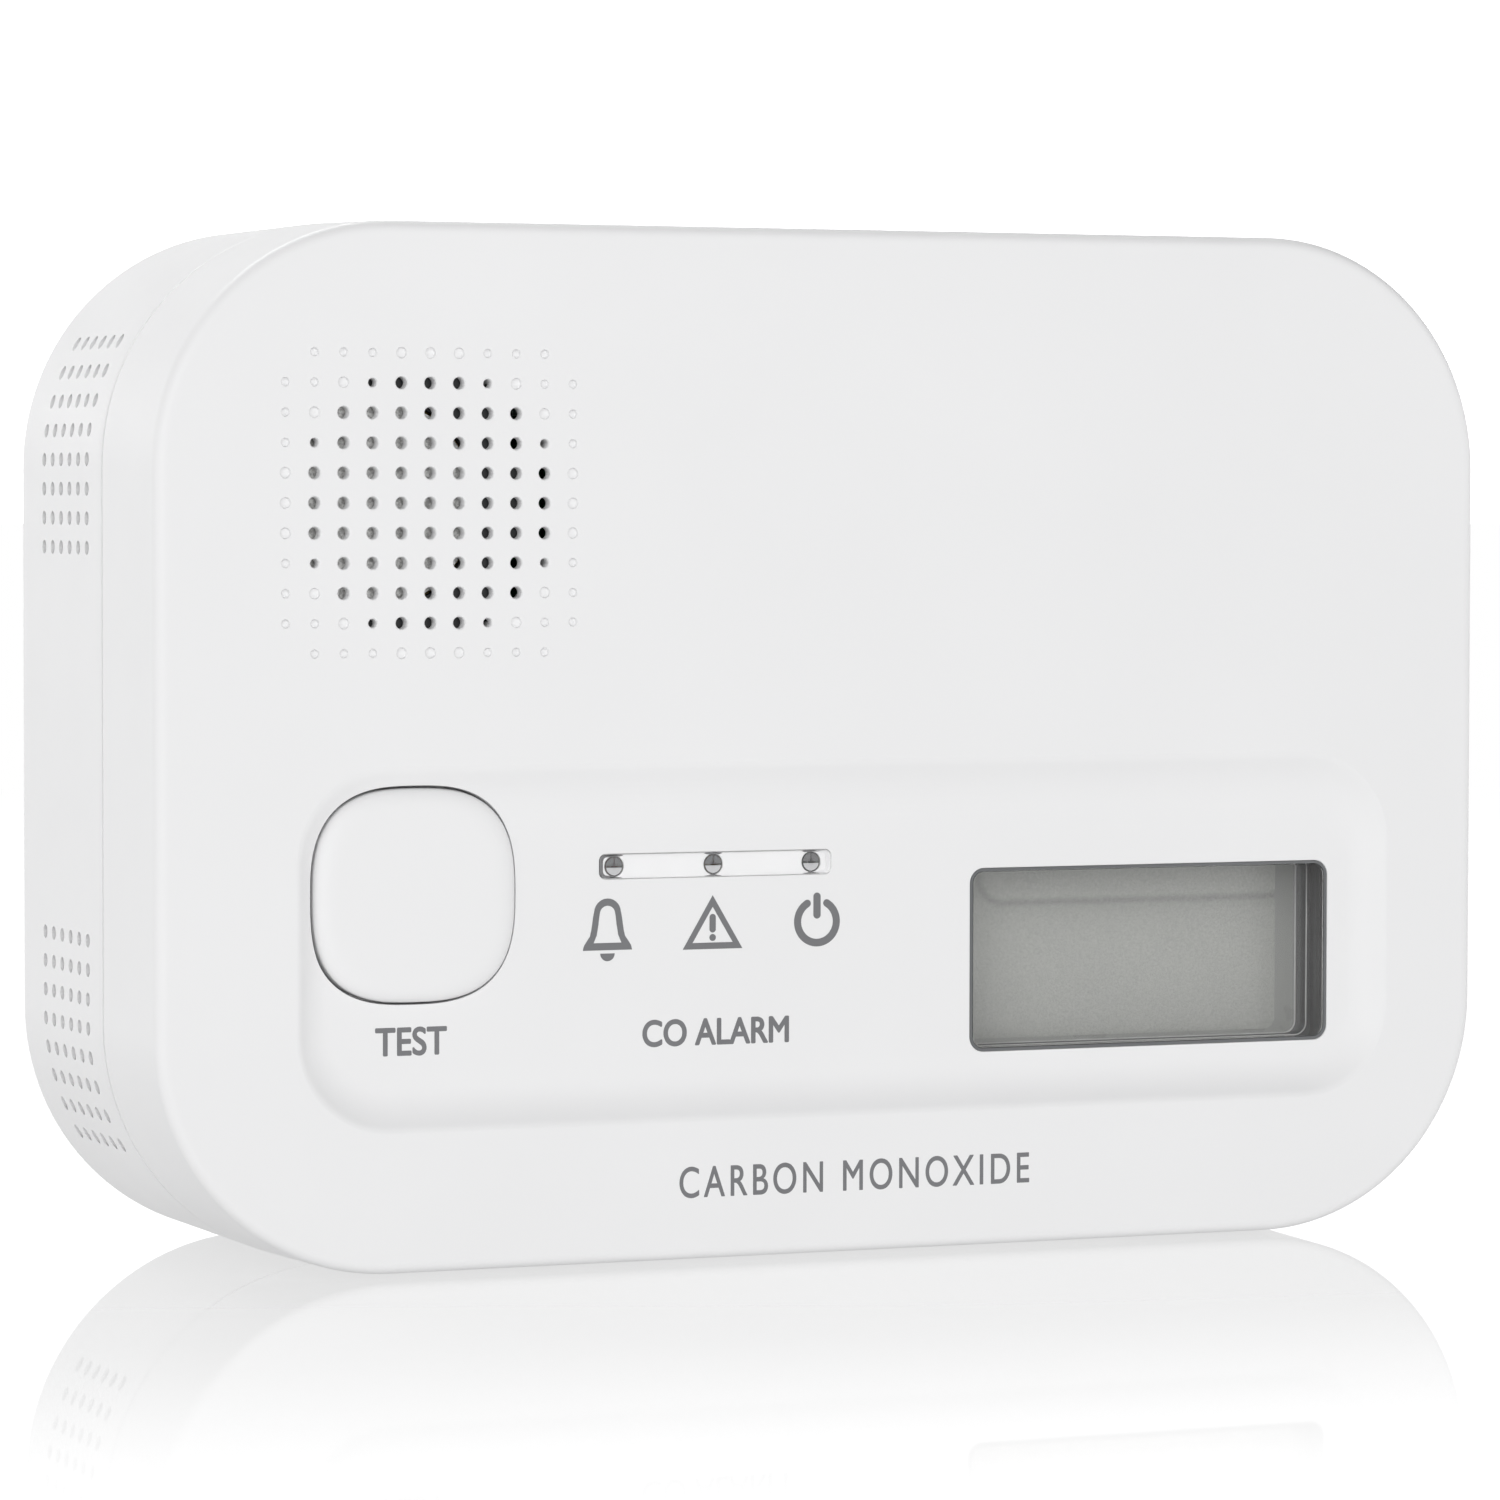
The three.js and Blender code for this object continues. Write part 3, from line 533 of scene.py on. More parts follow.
REFLECTION_STRIP_AT = (0.0319, 0.0327)  # the painted reflection, a lighter strip at the top of the display, in metres
REFLECTION_STRIP_HALF = (0.0157, 0.0033)
REFLECTION_STRIP_CORNER = 0.0026
REFLECTION_STRIP_FADE = 0.004  # how far its soft edge of painted shade reaches


def display_material():
    """The grey reflective polariser: a fine grain, and at the top a painted reflection, a lighter strip,
    with a soft edge of painted shade.
    """
    made, tree, shader = base_material("reflective_display", (0.4, 0.405, 0.38), 0.35, Coat_Weight=0.3,
                                       Coat_Roughness=0.1)
    split = tree.nodes.new("ShaderNodeSeparateXYZ")
    tree.links.new(tree.nodes.new("ShaderNodeTexCoord").outputs["Object"], split.inputs["Vector"])

    def beyond(axis, centre, half):
        offset = maths(tree, "ABSOLUTE", maths(tree, "SUBTRACT", split.outputs[axis], centre))
        return maths(tree, "MAXIMUM", maths(tree, "SUBTRACT", offset, half - REFLECTION_STRIP_CORNER), 0.0)

    reach = length_of(tree, beyond("X", REFLECTION_STRIP_AT[0], REFLECTION_STRIP_HALF[0]), beyond("Z", REFLECTION_STRIP_AT[1], REFLECTION_STRIP_HALF[1]))
    distance = maths(tree, "MULTIPLY", reach, 1 / REFLECTION_STRIP_FADE)
    # Painted reflection and shade: full tone in the strip, a dark ring of painted shade round it, then the
    # plain tone.
    painted_reflection_tones = greys(((0.0, 1.0), (0.45, 0.98), (0.62, 0.68), (0.74, 0.86), (0.9, 0.9)))
    strip = graded(tree, distance, painted_reflection_tones, "EASE")
    fine = noise(tree, 6500, 2, 0.7)
    grain = ramp(tree, fine, (0.29, 0.294, 0.274), (0.44, 0.444, 0.418), 0.25, 0.75)
    both = tree.nodes.new("ShaderNodeMix")
    both.data_type = "RGBA"
    both.blend_type = "MULTIPLY"
    both.inputs["Factor"].default_value = 1.0
    tree.links.new(grain, both.inputs["A"])
    tree.links.new(strip, both.inputs["B"])
    tree.links.new(both.outputs["Result"], shader.inputs["Base Color"])
    bumped(tree, shader, [(noise(tree, 6500, 2), 0.2, 0.00001)])
    return made


CERAMIC = ceramic_material()
BOARD = board_material()
DISPLAY = display_material()
DISPLAY_EDGE = moulded("display_border", (0.26, 0.265, 0.25), 0.3, tint=0.03)
RED_LENS = lens_material("red_epoxy", (0.55, 0.12, 0.1))
AMBER_LENS = lens_material("amber_epoxy", (0.62, 0.36, 0.1))
GREEN_LENS = lens_material("green_epoxy", (0.14, 0.42, 0.16))


def cell_material():
    """Printed metallic film in dark blue, for all of a cell's wrap but the band at its positive end."""
    made, tree, shader = base_material("cell_film", (0.03, 0.12, 0.2), 0.28, Coat_Weight=0.5,
                                       Coat_Roughness=0.1)
    tree.links.new(ramp(tree, noise(tree, 400, 3), (0.025, 0.1, 0.17), (0.04, 0.14, 0.23)),
                   shader.inputs["Base Color"])
    bumped(tree, shader, [(noise(tree, 900, 3), 0.1, 0.00003)])
    return made


CELL_FILM = cell_material()
CELL_BAND = metal("cell_band", (0.75, 0.7, 0.58), 0.3)

# ---------- front cover ----------
DISH_START = -0.11
DISH_SHARES = (-0.06, -0.02, 0.02, 0.06, 0.11, 0.18, 0.27, 0.38, 0.5, 0.63, 0.76, 0.88, 1.0)
COVE = 2.1
LIP = 0.11


def dish_depth(share):
    """A hollow curve from the rim down to the floor, with the rim itself softened."""
    if share >= LIP:
        return DISH_DEPTH * (1 - (1 - share) ** COVE)
    at_lip = DISH_DEPTH * (1 - (1 - LIP) ** COVE)
    fall = DISH_DEPTH * COVE * (1 - LIP) ** (COVE - 1)
    start = LIP - 2 * at_lip / fall
    return 0.0 if share <= start else fall * (share - start) ** 2 / (2 * (LIP - start))


def dish_outline(share):
    edges = [edge + slope * share for edge, slope in zip(DISH, DISH_SLOPE)]
    return rounded(*edges, DISH_CORNER - 3 * share, 24)


def grille_cutters():
    holes, dimples = [], []
    for row, reach in enumerate(GRILLE_REACH):
        for column in range(-5, 6):
            if row in (0, 10) and abs(column) == 5:
                continue
            x = GRILLE_AT.x + column * GRILLE_PITCH[0]
            z = GRILLE_AT.z + (5 - row) * GRILLE_PITCH[1]
            if reach and abs(column) <= reach:
                r = SMALL_HOLE_RADIUS if (row, abs(column)) in GRILLE_SMALL else HOLE_RADIUS
                profile = [(r + 0.2, -0.08), (r + 0.08, 0.02), (r + 0.02, 0.09), (r, 0.2), (r, WALL + 1)]
                holes.append(turned(profile, (x, FACE_Y, z), count=20))
            else:
                middle = (row in (0, 10) and abs(column) <= 1) or (abs(column) == 5 and 4 <= row <= 6)
                inside = (row, abs(column)) in DIMPLES_INSIDE
                r = DIMPLE_RADIUS if middle or inside else SMALL_DIMPLE_RADIUS
                profile = [(r + 0.08, -0.06), (r + 0.01, 0.03), (r - 0.01, 0.16), (r - 0.05, 0.24),
                           (r * 0.6, 0.3), (0.02, 0.31)]
                dimples.append(turned(profile, (x, FACE_Y, z), count=20))
    return together(holes), together(dimples)


def front_cover():
    edge = [(DRAFT + EDGE * inset, FACE_Y + EDGE * depth) for inset, depth in quarter_round(8)]
    shell = case_loft([
        (DRAFT + EDGE + 0.25, FACE_Y), *edge, (DRAFT - 0.03, FACE_Y + EDGE + 1.2), (0.03, FRONT_RIM_Y - 1.2),
        (0.0, FRONT_RIM_Y - 0.2), (0.05, FRONT_RIM_Y - 0.06), (0.18, FRONT_RIM_Y),
        (TONGUE_INSET, FRONT_RIM_Y), (TONGUE_INSET, FRONT_RIM_Y + TONGUE_LENGTH),
    ])
    hollow = plate(case_outline(SIDE_WALL), FACE_Y + WALL, BACK_Y)
    backing = plate(rounded(*DISH, DISH_CORNER), FACE_Y + WALL - 0.2, DISH_BACK_Y)
    posts = rods_at(POSTS, POST_RADIUS, POST_LENGTH, FACE_Y + WALL - 0.2)
    bores = rods_at(POSTS, BORE_RADIUS, BORE_LENGTH, FACE_Y + WALL + 1)
    dish = [(dish_outline(DISH_START), FACE_Y - 1), (dish_outline(DISH_START), FACE_Y - 0.02)]
    dish += [(dish_outline(share), FACE_Y + dish_depth(share)) for share in DISH_SHARES]
    dish.append((dish_outline(1.03), DISH_Y))
    button_hole = loft([
        (soft_square(BUTTON_HOLE_HALF + out, *BUTTON_HOLE), y)
        for out, y in ((0.02, FACE_Y - 1), (0.02, DISH_Y - 0.02), (0.0, DISH_Y + 0.04), (0.0, 0.0))
    ])
    display_hole = stepped(WINDOW_AT, WINDOW_SIZE, WINDOW_CORNER, (
        (0.1, DISH_Y - 0.05), (0.03, DISH_Y + 0.02), (0.0, DISH_Y + 0.08), (0.0, SKIN_Y),
        (SHOULDER, SKIN_Y), (SHOULDER, 0.0),
    ))
    light_pocket = stepped(BAR_AT, BAR_SIZE, BAR_CORNER, (
        (0.08, DISH_Y - 0.04), (0.02, DISH_Y + 0.02), (0.0, DISH_Y + 0.07), (0.0, DISH_Y + BAR_POCKET),
    ))
    leg_holes = rods_at(LEGS.values(), LEG_RADIUS + 0.06, 4, DISH_Y + 0.2, 32)
    thinned = [rod(radius, 3, (at.x, FACE_Y + GRILLE_WALL, at.z), count=64)
               for at, radius in ((GRILLE_AT, GRILLE_THINNED), (HORN_AT, HORN_RADIUS + GAP))]
    holes, dimples = grille_cutters()
    return carved(shell, ("cut", hollow), ("cut", thinned[0]), ("cut", thinned[1]), ("join", backing),
                  ("join", posts), ("cut", bores), ("cut", loft(dish)), ("cut", button_hole),
                  ("cut", display_hole), ("cut", light_pocket), ("cut", leg_holes), ("cut", holes),
                  ("cut", dimples))


piece("front_shell", front_cover(), WHITE, "case", ["front_cover"])


# ---------- rear cover ----------
def vent_cutters():
    vents = []
    for side in (-1, 1):
        start = min(side * (HALF_WIDTH - VENT_REACH), side * (HALF_WIDTH + 1))
        for half in (-1, 1):
            for row in range(VENT_ROWS):
                z = HEIGHT / 2 + half * (VENT_FIRST_ROW + row * VENT_PITCH)
                for column in range(VENT_COLUMNS):
                    y = VENT_REAR_Y - column * VENT_PITCH
                    vents.append(rod(VENT_RADIUS, VENT_REACH + 1, (start, y, z), "X", 16))
    return together(vents)


def keyhole_cutter(side):
    """The round head hole and the narrower slot above it, as one outline."""
    x, z, head, slot, rise = (KEYHOLE[k] for k in ("x", "z", "head", "slot", "rise"))
    meet = math.asin(slot / head)
    outline = []
    for i in range(17):
        angle = math.pi * i / 16
        outline.append((slot * math.cos(angle), rise + slot * math.sin(angle)))
    for i in range(33):
        angle = math.pi / 2 + meet + (2 * math.pi - 2 * meet) * i / 32
        outline.append((head * math.cos(angle), head * math.sin(angle)))

    def grown(out):
        wide, tall = 1 + out / head, 1 + out / (rise + slot)
        return [(side * x + px * wide, z + pz * tall) for px, pz in outline]

    return loft([(grown(0), BACK_Y - WALL - 1), (grown(0), BACK_Y - 0.25), (grown(0.1), BACK_Y - 0.06),
                 (grown(0.3), BACK_Y + 0.1)])


def rear_cover():
    edge = [(EDGE * inset, BACK_Y - EDGE * depth) for inset, depth in reversed(quarter_round(8))]
    shell = case_loft([
        (0.18, REAR_RIM_Y), (0.05, REAR_RIM_Y + 0.06), (0.0, REAR_RIM_Y + 0.2), (0.0, REAR_RIM_Y + 1.5),
        (0.0, BACK_Y - EDGE - 1.5), *edge, (EDGE + 0.25, BACK_Y),
    ])
    hollow = plate(case_outline(SIDE_WALL), REAR_RIM_Y - 1, BACK_Y - WALL)
    rabbet = plate(case_outline(TONGUE_INSET - GAP), REAR_RIM_Y - 1, REAR_RIM_Y + TONGUE_LENGTH + GAP)
    half, bottom, top, floor, wall = (BAY[k] for k in ("half", "bottom", "top", "floor", "wall"))
    tubes = rods_at(POSTS, TUBE_RADIUS, BACK_Y - WALL + 0.2 - TUBE_FRONT_Y, TUBE_FRONT_Y)
    head = SCREW_HEAD + GAP
    well = [(BORE_RADIUS, 0), *zip((BORE_RADIUS, head, head, head + 0.25), WELL_DEPTHS)]
    wells = together([turned(well, (x, WELL_FRONT_Y, z), count=32) for x, z in POSTS])
    bay = block(-half - wall, half + wall, floor - wall, BACK_Y - WALL + 0.2, bottom - wall, top + wall)
    reach = 1.6
    collar = block(-DOOR_HALF[0] - reach, DOOR_HALF[0] + reach, BACK_Y - WALL - 1.6, BACK_Y - WALL + 0.2,
                   BAY_Z - DOOR_HALF[1] - reach, BAY_Z + DOOR_HALF[1] + reach)
    bay_hollow = block(-half, half, floor, BACK_Y + 2, bottom, top, 0.6)
    opening = [2 * (half_door + GAP) for half_door in DOOR_HALF]
    seat = stepped(Vector((0, 0, BAY_Z)), opening, 0.8, (
        (0.0, BACK_Y - WALL), (0.0, BACK_Y - 0.3), (0.07, BACK_Y - 0.08), (0.25, BACK_Y + 0.1),
    ))
    low = BAY_Z - opening[1] / 2
    groove = rod(BARREL + GAP, opening[1], (HINGE_X, HINGE_Y, low), "Z", 32)
    pin_holes = rod(PIN + 0.15, opening[1] + 3.2, (HINGE_X, HINGE_Y, low - 1.6), "Z")
    notch = turned([(3.2, 0), (3.8, 0.35), (4.0, 1.1), (4.2, 1.3)],
                   (-DOOR_HALF[0] - 1.2, BACK_Y - 1.2, BAY_Z), count=40)
    slots = together([
        block(-half, -half + 1.0, floor - wall - 1, floor + 1, z - 1.7, z + 1.7)
        for z in (centre_mm("cell_lower").z, centre_mm("cell_upper").z)
    ])
    ridges = together([
        block(x - 0.5, x + 0.5, floor - 0.2, floor + 0.5, z - 4.2, z + 4.2, 0.15, 2)
        for x in (-16, 16) for z in (BAY_Z - 7.7, BAY_Z + 7.7)
    ])
    return carved(shell, ("cut", hollow), ("cut", rabbet), ("join", tubes), ("join", bay),
                  ("join", collar), ("cut", wells), ("cut", bay_hollow), ("join", ridges), ("cut", slots),
                  ("cut", seat), ("cut", groove), ("cut", pin_holes), ("cut", notch),
                  ("cut", keyhole_cutter(-1)), ("cut", keyhole_cutter(1)), ("cut", vent_cutters()))


piece("rear_shell", rear_cover(), WHITE, "case", ["rear_cover"])


# ---------- battery door ----------
def battery_door():
    half_x, half_z = DOOR_HALF
    inner_y = BACK_Y - DOOR_THICKNESS
    centre = Vector(((HINGE_X - half_x) / 2, 0, BAY_Z))
    size = (HINGE_X + half_x, 2 * half_z)
    panel = loft([
        (rounded_at(centre, size, 0.7, out), y)
        for out, y in ((-0.15, inner_y), (0.0, inner_y + 0.15), (0.0, BACK_Y - 0.35), (-0.1, BACK_Y - 0.1),
                       (-0.35, BACK_Y))
    ])
    low, height = BAY_Z - half_z, 2 * half_z
    roll = rod(BARREL, height, (HINGE_X, HINGE_Y, low), "Z", 32)
    pins = turned([(PIN - 0.15, 0), (PIN, 0.2), (PIN, height + 2.6), (PIN - 0.15, height + 2.8)],
                  (HINGE_X, HINGE_Y, low - 1.4), "Z")
    ribs = together([block(-26, 26, inner_y - 0.9, inner_y + 0.1, z - 0.5, z + 0.5, 0.15, 2)
                     for z in (BAY_Z - DOOR_RIB_Z, BAY_Z + DOOR_RIB_Z)])
    latch = block(-BAY["half"] + GAP, -BAY["half"] + 1.3, BACK_Y - 6, inner_y + 0.1,
                  BAY_Z - 1.6, BAY_Z + 1.6, 0.25)
    scoop = turned([(3.3, 0), (3.8, 0.3), (4.0, 0.7), (4.3, 1.0)], (-half_x - 1.2, BACK_Y - 0.8, BAY_Z),
                   count=40)
    grips = together([
        block(x, x + 0.5, BACK_Y - 0.25, BACK_Y + 1, BAY_Z - 6, BAY_Z + 6)
        for x in DOOR_GRIPS
    ])
    return carved(panel, ("join", roll), ("join", pins), ("join", ribs), ("join", latch), ("cut", scoop),
                  ("cut", grips))


piece("door_shell", battery_door(), WHITE, "door", ["battery_door"])


# ---------- test button ----------
def test_button():
    top_y = DISH_Y - BUTTON_PROUD
    stem_y = box_mm("test_button")[1].y
    wide, deep = CAP_EDGE
    rim = [(soft_square(CAP_HALF - wide * inset, *BUTTON_REST), top_y + deep * depth)
           for inset, depth in quarter_round(12)]
    flange_y = DISH_BACK_Y + GAP
    cap = loft([(soft_square(CAP_HALF - wide - 0.3, *BUTTON_REST), top_y), *rim,
                (soft_square(CAP_HALF, *BUTTON_REST), flange_y + 0.5)])
    flange = plate(soft_square(BUTTON_HALF + 1.2), flange_y, flange_y + 1)
    reach = stem_y - flange_y
    stem = turned([(STEM_RADIUS, 0), (STEM_RADIUS, reach - 1.1), (STEM_RADIUS - 0.2, reach - 0.9)],
                  (BUTTON_AT.x, flange_y + 0.9, BUTTON_AT.z))
    return carved(cap, ("join", flange), ("join", stem))


piece("test_button_cap", test_button(), BUTTON_WHITE, "button", ["test_button"])


# ---------- light bar and lamps ----------
def light_bar():
    front_y, back_y = DISH_Y + 0.03, DISH_Y + BAR_POCKET - 0.12
    bar = stepped(BAR_AT, [side - 0.1 for side in BAR_SIZE], BAR_CORNER - 0.03, (
        (-0.08, front_y), (-0.02, front_y + 0.02), (0.0, front_y + 0.08), (0.0, back_y),
    ))
    legs = rods_at(LEGS.values(), LEG_RADIUS, LED_TIP_Y - GAP - back_y - 0.08, back_y + 0.08, 32)
    necks = rods_at(LEGS.values(), 0.3, 0.4, back_y - 0.1, 12)
    return carved(bar, ("join", necks), ("join", legs))


light_pipe = piece("light_pipe_clear", light_bar(), PIPE_CLEAR, "case", ["light_pipe"])
light_pipe.visible_shadow = False


def pocket_liner():
    """The bright reflector at the bottom of the pocket, open round the legs."""
    floor_y = DISH_Y + BAR_POCKET
    strip = plate(rounded_at(BAR_AT, BAR_SIZE, BAR_CORNER - 0.01, -0.01), floor_y - 0.1, floor_y)
    return carved(strip, ("cut", rods_at(LEGS.values(), LEG_RADIUS + 0.05, 1, DISH_Y, 32)))


piece("light_pocket_liner", pocket_liner(), REFLECTOR, "case")


def lamp(at):
    base_y = BOARD_FRONT_Y - GAP
    radius, ring = 1.5, 1.9
    dome = [(radius * (1 - inset) + 0.01, LED_TIP_Y + radius * depth) for inset, depth in quarter_round(10)]
    return turned([*dome, (radius + 0.01, base_y - 0.9), (ring, base_y - 0.85), (ring, base_y)],
                  (at.x, 0, at.z), count=32)


for name, finish, slot in (("alarm_led", RED_LENS, "red_lens"), ("fault_led", AMBER_LENS, "amber_lens"),
                           ("power_led", GREEN_LENS, "green_lens")):
    piece(name + "_lamp", lamp(LEDS[name]), finish, "case", [name])


# ---------- display ----------
GASKET = 0.27
HIGHLIGHT_RING_WIDTH = 0.09
VIEW_RIGHT = WINDOW_AT.x + WINDOW_SIZE[0] / 2 + 0.2
VIEW = (WINDOW_AT.x - WINDOW_SIZE[0] / 2, VIEW_RIGHT, WINDOW_AT.z - WINDOW_SIZE[1] / 2 + 0.05,
        WINDOW_AT.z + WINDOW_SIZE[1] / 2 + 0.5)
VIEW_CORNER = 1.1
PANEL_LOW, PANEL_HIGH = box_mm("display_panel")
POLARISER = 0.1
LIP_Y = -12.2
SEAT_Y = -10.2


def painted_highlight_ring(name, y, depth):
    """A thin grey rounded rectangle that lines the view of the display: a painted highlight along an edge of
    the black frame.
    """
    left, right, bottom, top = VIEW
    inner = rounded(left + HIGHLIGHT_RING_WIDTH, right - HIGHLIGHT_RING_WIDTH, bottom + HIGHLIGHT_RING_WIDTH, top - HIGHLIGHT_RING_WIDTH,
                    VIEW_CORNER - HIGHLIGHT_RING_WIDTH)
    ring = carved(plate(rounded(*VIEW, VIEW_CORNER), y, y + depth), ("cut", plate(inner, y - 1, y + 1)))
    piece(name, ring, HIGHLIGHT_GREY, "case")


def display_window():
    front_y = DISH_Y + 0.06
    flange_y = DISH_BACK_Y + GAP
    lens = stepped(WINDOW_AT, [side - 2 * GASKET - 0.1 for side in WINDOW_SIZE], 1.0, (
        (-0.1, front_y), (-0.03, front_y + 0.03), (0.0, front_y + 0.1), (0.0, SKIN_Y + 0.3),
    ))
    wide = rounded_at(WINDOW_AT, WINDOW_SIZE, 1.2, 1.1)
    flange = rounded_at(WINDOW_AT, WINDOW_SIZE, 1.0, 1.6)
    return carved(lens, ("join", plate(wide, SKIN_Y + 0.06, flange_y + 0.4)),
                  ("join", plate(flange, flange_y, flange_y + 1.2)))


window = piece("display_window_clear", display_window(), CLEAR, "case", ["display_window"])
window.visible_shadow = False


def display_gasket():
    outer = rounded_at(WINDOW_AT, WINDOW_SIZE, WINDOW_CORNER - 0.03, -0.03)
    inner = rounded_at(WINDOW_AT, WINDOW_SIZE, WINDOW_CORNER - GASKET, -GASKET)
    return carved(plate(outer, DISH_Y + 0.05, SKIN_Y), ("cut", plate(inner, DISH_Y - 1, 0)))


piece("display_gasket", display_gasket(), RUBBER, "case")


def display_holder():
    """The black frame behind the window: a wide mouth, a lip that closes in on the glass, and its seat."""
    low, high = box_mm("display_holder")
    frame_block = block(low.x, high.x, low.y, high.y, low.z, high.z, 0.3, 2)
    mouth = plate(rounded_at(WINDOW_AT, WINDOW_SIZE, 1.3, 0.6), low.y - 1, LIP_Y)
    view = plate(rounded(*VIEW, VIEW_CORNER), LIP_Y - 1, SEAT_Y + 1)
    seat = block(PANEL_LOW.x - GAP, PANEL_HIGH.x + GAP, SEAT_Y, high.y + 1,
                 PANEL_LOW.z - GAP, PANEL_HIGH.z + GAP)
    return carved(frame_block, ("cut", mouth), ("cut", view), ("cut", seat))


piece("display_holder_frame", display_holder(), HOLDER_GREY, "case", ["display_holder"])
# Painted highlights at the lip and at the seat of the display frame.
painted_highlight_ring("display_lip_painted_highlight", LIP_Y - 0.05, 0.08)
painted_highlight_ring("display_seat_painted_highlight", SEAT_Y + 0.05, 0.15)


glass = block(PANEL_LOW.x, PANEL_HIGH.x, PANEL_LOW.y + POLARISER, PANEL_HIGH.y, PANEL_LOW.z, PANEL_HIGH.z,
              0.12, 2)
piece("display_glass", glass, DISPLAY_EDGE, "case", ["display_panel"])
polariser = plate(rounded(VIEW[0] + 0.4, VIEW_RIGHT - 2.0, VIEW[2] + 0.45, VIEW[3] + 0.3, 1.0),
                  PANEL_LOW.y, PANEL_LOW.y + POLARISER)
piece("display_polariser", polariser, DISPLAY, "case")


# ---------- cells ----------
def place_cell(node, direction):
    """A cell with its positive end toward direction, 1 for right and -1 for left."""
    low, high = box_mm(node)
    centre, length = (low + high) / 2, high.x - low.x
    r = CELL_RADIUS
    profile = [(r - 1.6, 0.15), (r - 1.2, 0.0), (r - 0.6, 0.05), (r - 0.15, 0.3), (r, 0.8), (r, 1.1)]
    profile += [(r, length - 13), (r, length - 2.4), (r - 0.2, length - 1.9), (r - 0.8, length - 1.35),
                (3.0, length - 1.3), (2.75, length - 1.1), (2.7, length - 0.3), (2.5, length - 0.06),
                (2.2, length)]
    points, faces = turned(profile, (-length / 2, 0, 0), "X", 48)
    points = [(centre.x + direction * x, centre.y + direction * y, centre.z + z) for x, y, z in points]
    finishes = [CELL_FILM, CELL_BAND, STEEL]
    made = piece(node + "_battery", (points, faces), finishes, "case", [node])
    for face in made.data.polygons:
        along = direction * (face.center.x / MM - centre.x)
        if along > length / 2 - 1.6 or along < -length / 2 + 0.4:
            face.material_index = 2
        elif along > length / 2 - 13:
            face.material_index = 1


place_cell("cell_upper", 1)
place_cell("cell_lower", -1)


# ---------- battery contacts ----------
WALL_X = BAY["half"] - GAP
CONTACT = 0.4


def plate_x(direction, z, half_z=5.5, y0=CELL_Y - 6, y1=CELL_Y + 6):
    wall, face = direction * WALL_X, direction * (WALL_X - CONTACT)
    return block(min(wall, face), max(wall, face), y0, y1, z - half_z, z + half_z, 0.12, 2)


def contact_bump(direction, z):
    face = direction * (WALL_X - CONTACT)
    profile = [(0.6, -1.0), (1.4, -0.9), (1.8, -0.6), (2.0, 0.0), (2.2, 0.1)]
    points, faces = turned(profile, (0, 0, 0), "X", 28)
    return [(face + direction * x, CELL_Y + direction * y, z + pz) for x, y, pz in points], faces


def coil(direction, z, tip_x):
    """A conical spring of three and a half turns, closed flat at its wide end."""
    turns, steps, wire = 3.5, 150, 0.35
    wide, narrow, closed = 4.4, 2.6, 0.12
    face = direction * (WALL_X - CONTACT - 0.3)
    path = []
    for i in range(steps + 1):
        share = i / steps
        angle = share * turns * 2 * math.pi
        radius = wide + (narrow - wide) * share
        along = max(0.0, (share - closed) / (1 - closed))
        path.append((face + (tip_x - face) * along, CELL_Y + radius * math.cos(angle),
                     z + radius * math.sin(angle)))
    return tube(path, wire, 10)


upper_z, lower_z = centre_mm("cell_upper").z, centre_mm("cell_lower").z
spring_tip = box_mm("cell_upper")[0].x - GAP - 0.35
tail = {"y0": box_mm("contact_negative")[0].y, "y1": CELL_Y - 5}
strap = block(WALL_X - CONTACT, WALL_X, CELL_Y - 2, CELL_Y + 2, lower_z, upper_z)
bridge = carved(plate_x(1, upper_z), ("join", plate_x(1, lower_z)), ("join", strap),
                ("join", contact_bump(1, upper_z)), ("join", coil(1, lower_z, -spring_tip)))
negative = carved(plate_x(-1, upper_z), ("join", plate_x(-1, upper_z, 1.4, **tail)),
                  ("join", coil(-1, upper_z, spring_tip)))
positive = carved(plate_x(-1, lower_z), ("join", plate_x(-1, lower_z, 1.4, **tail)),
                  ("join", contact_bump(-1, lower_z)))
for node, shape in (("contact_bridge", bridge), ("contact_negative", negative),
                    ("contact_positive", positive)):
    piece(node + "_plate", shape, STEEL, "case", [node])


# ---------- case screws ----------
def screw(node):
    low, high = box_mm(node)
    x, z = (low.x + high.x) / 2, (low.z + high.z) / 2
    head_y = high.y - 1.8
    core, thread, pitch = 0.8, 1.05, 0.8
    profile = [(0.3, low.y), (thread, low.y + 1.6)]
    turns = int((head_y - low.y - 2.2) / pitch)
    for i in range(turns):
        y = low.y + 1.8 + i * pitch
        profile += [(core, y), (thread, y + pitch * 0.45), (core, y + pitch * 0.9)]
    profile += [(thread, head_y - 0.1), (SCREW_HEAD, head_y), (SCREW_HEAD, head_y + 0.9),
                (SCREW_HEAD - 0.3, head_y + 1.4), (SCREW_HEAD - 1.0, head_y + 1.72), (0.5, head_y + 1.8)]
    cross = [block(x - a, x + a, high.y - 1.0, high.y + 1, z - b, z + b, 0.08, 2)
             for a, b in ((0.33, 1.5), (1.5, 0.33))]
    return carved(turned(profile, (x, 0, z), count=32), ("cut", cross[0]), ("cut", cross[1]))


for i in range(1, 5):
    piece(f"case_screw_{i}_pan_head", screw(f"case_screw_{i}"), STEEL, "case", [f"case_screw_{i}"])


# ---------- printed marks ----------
INK_FRONT = 0.02


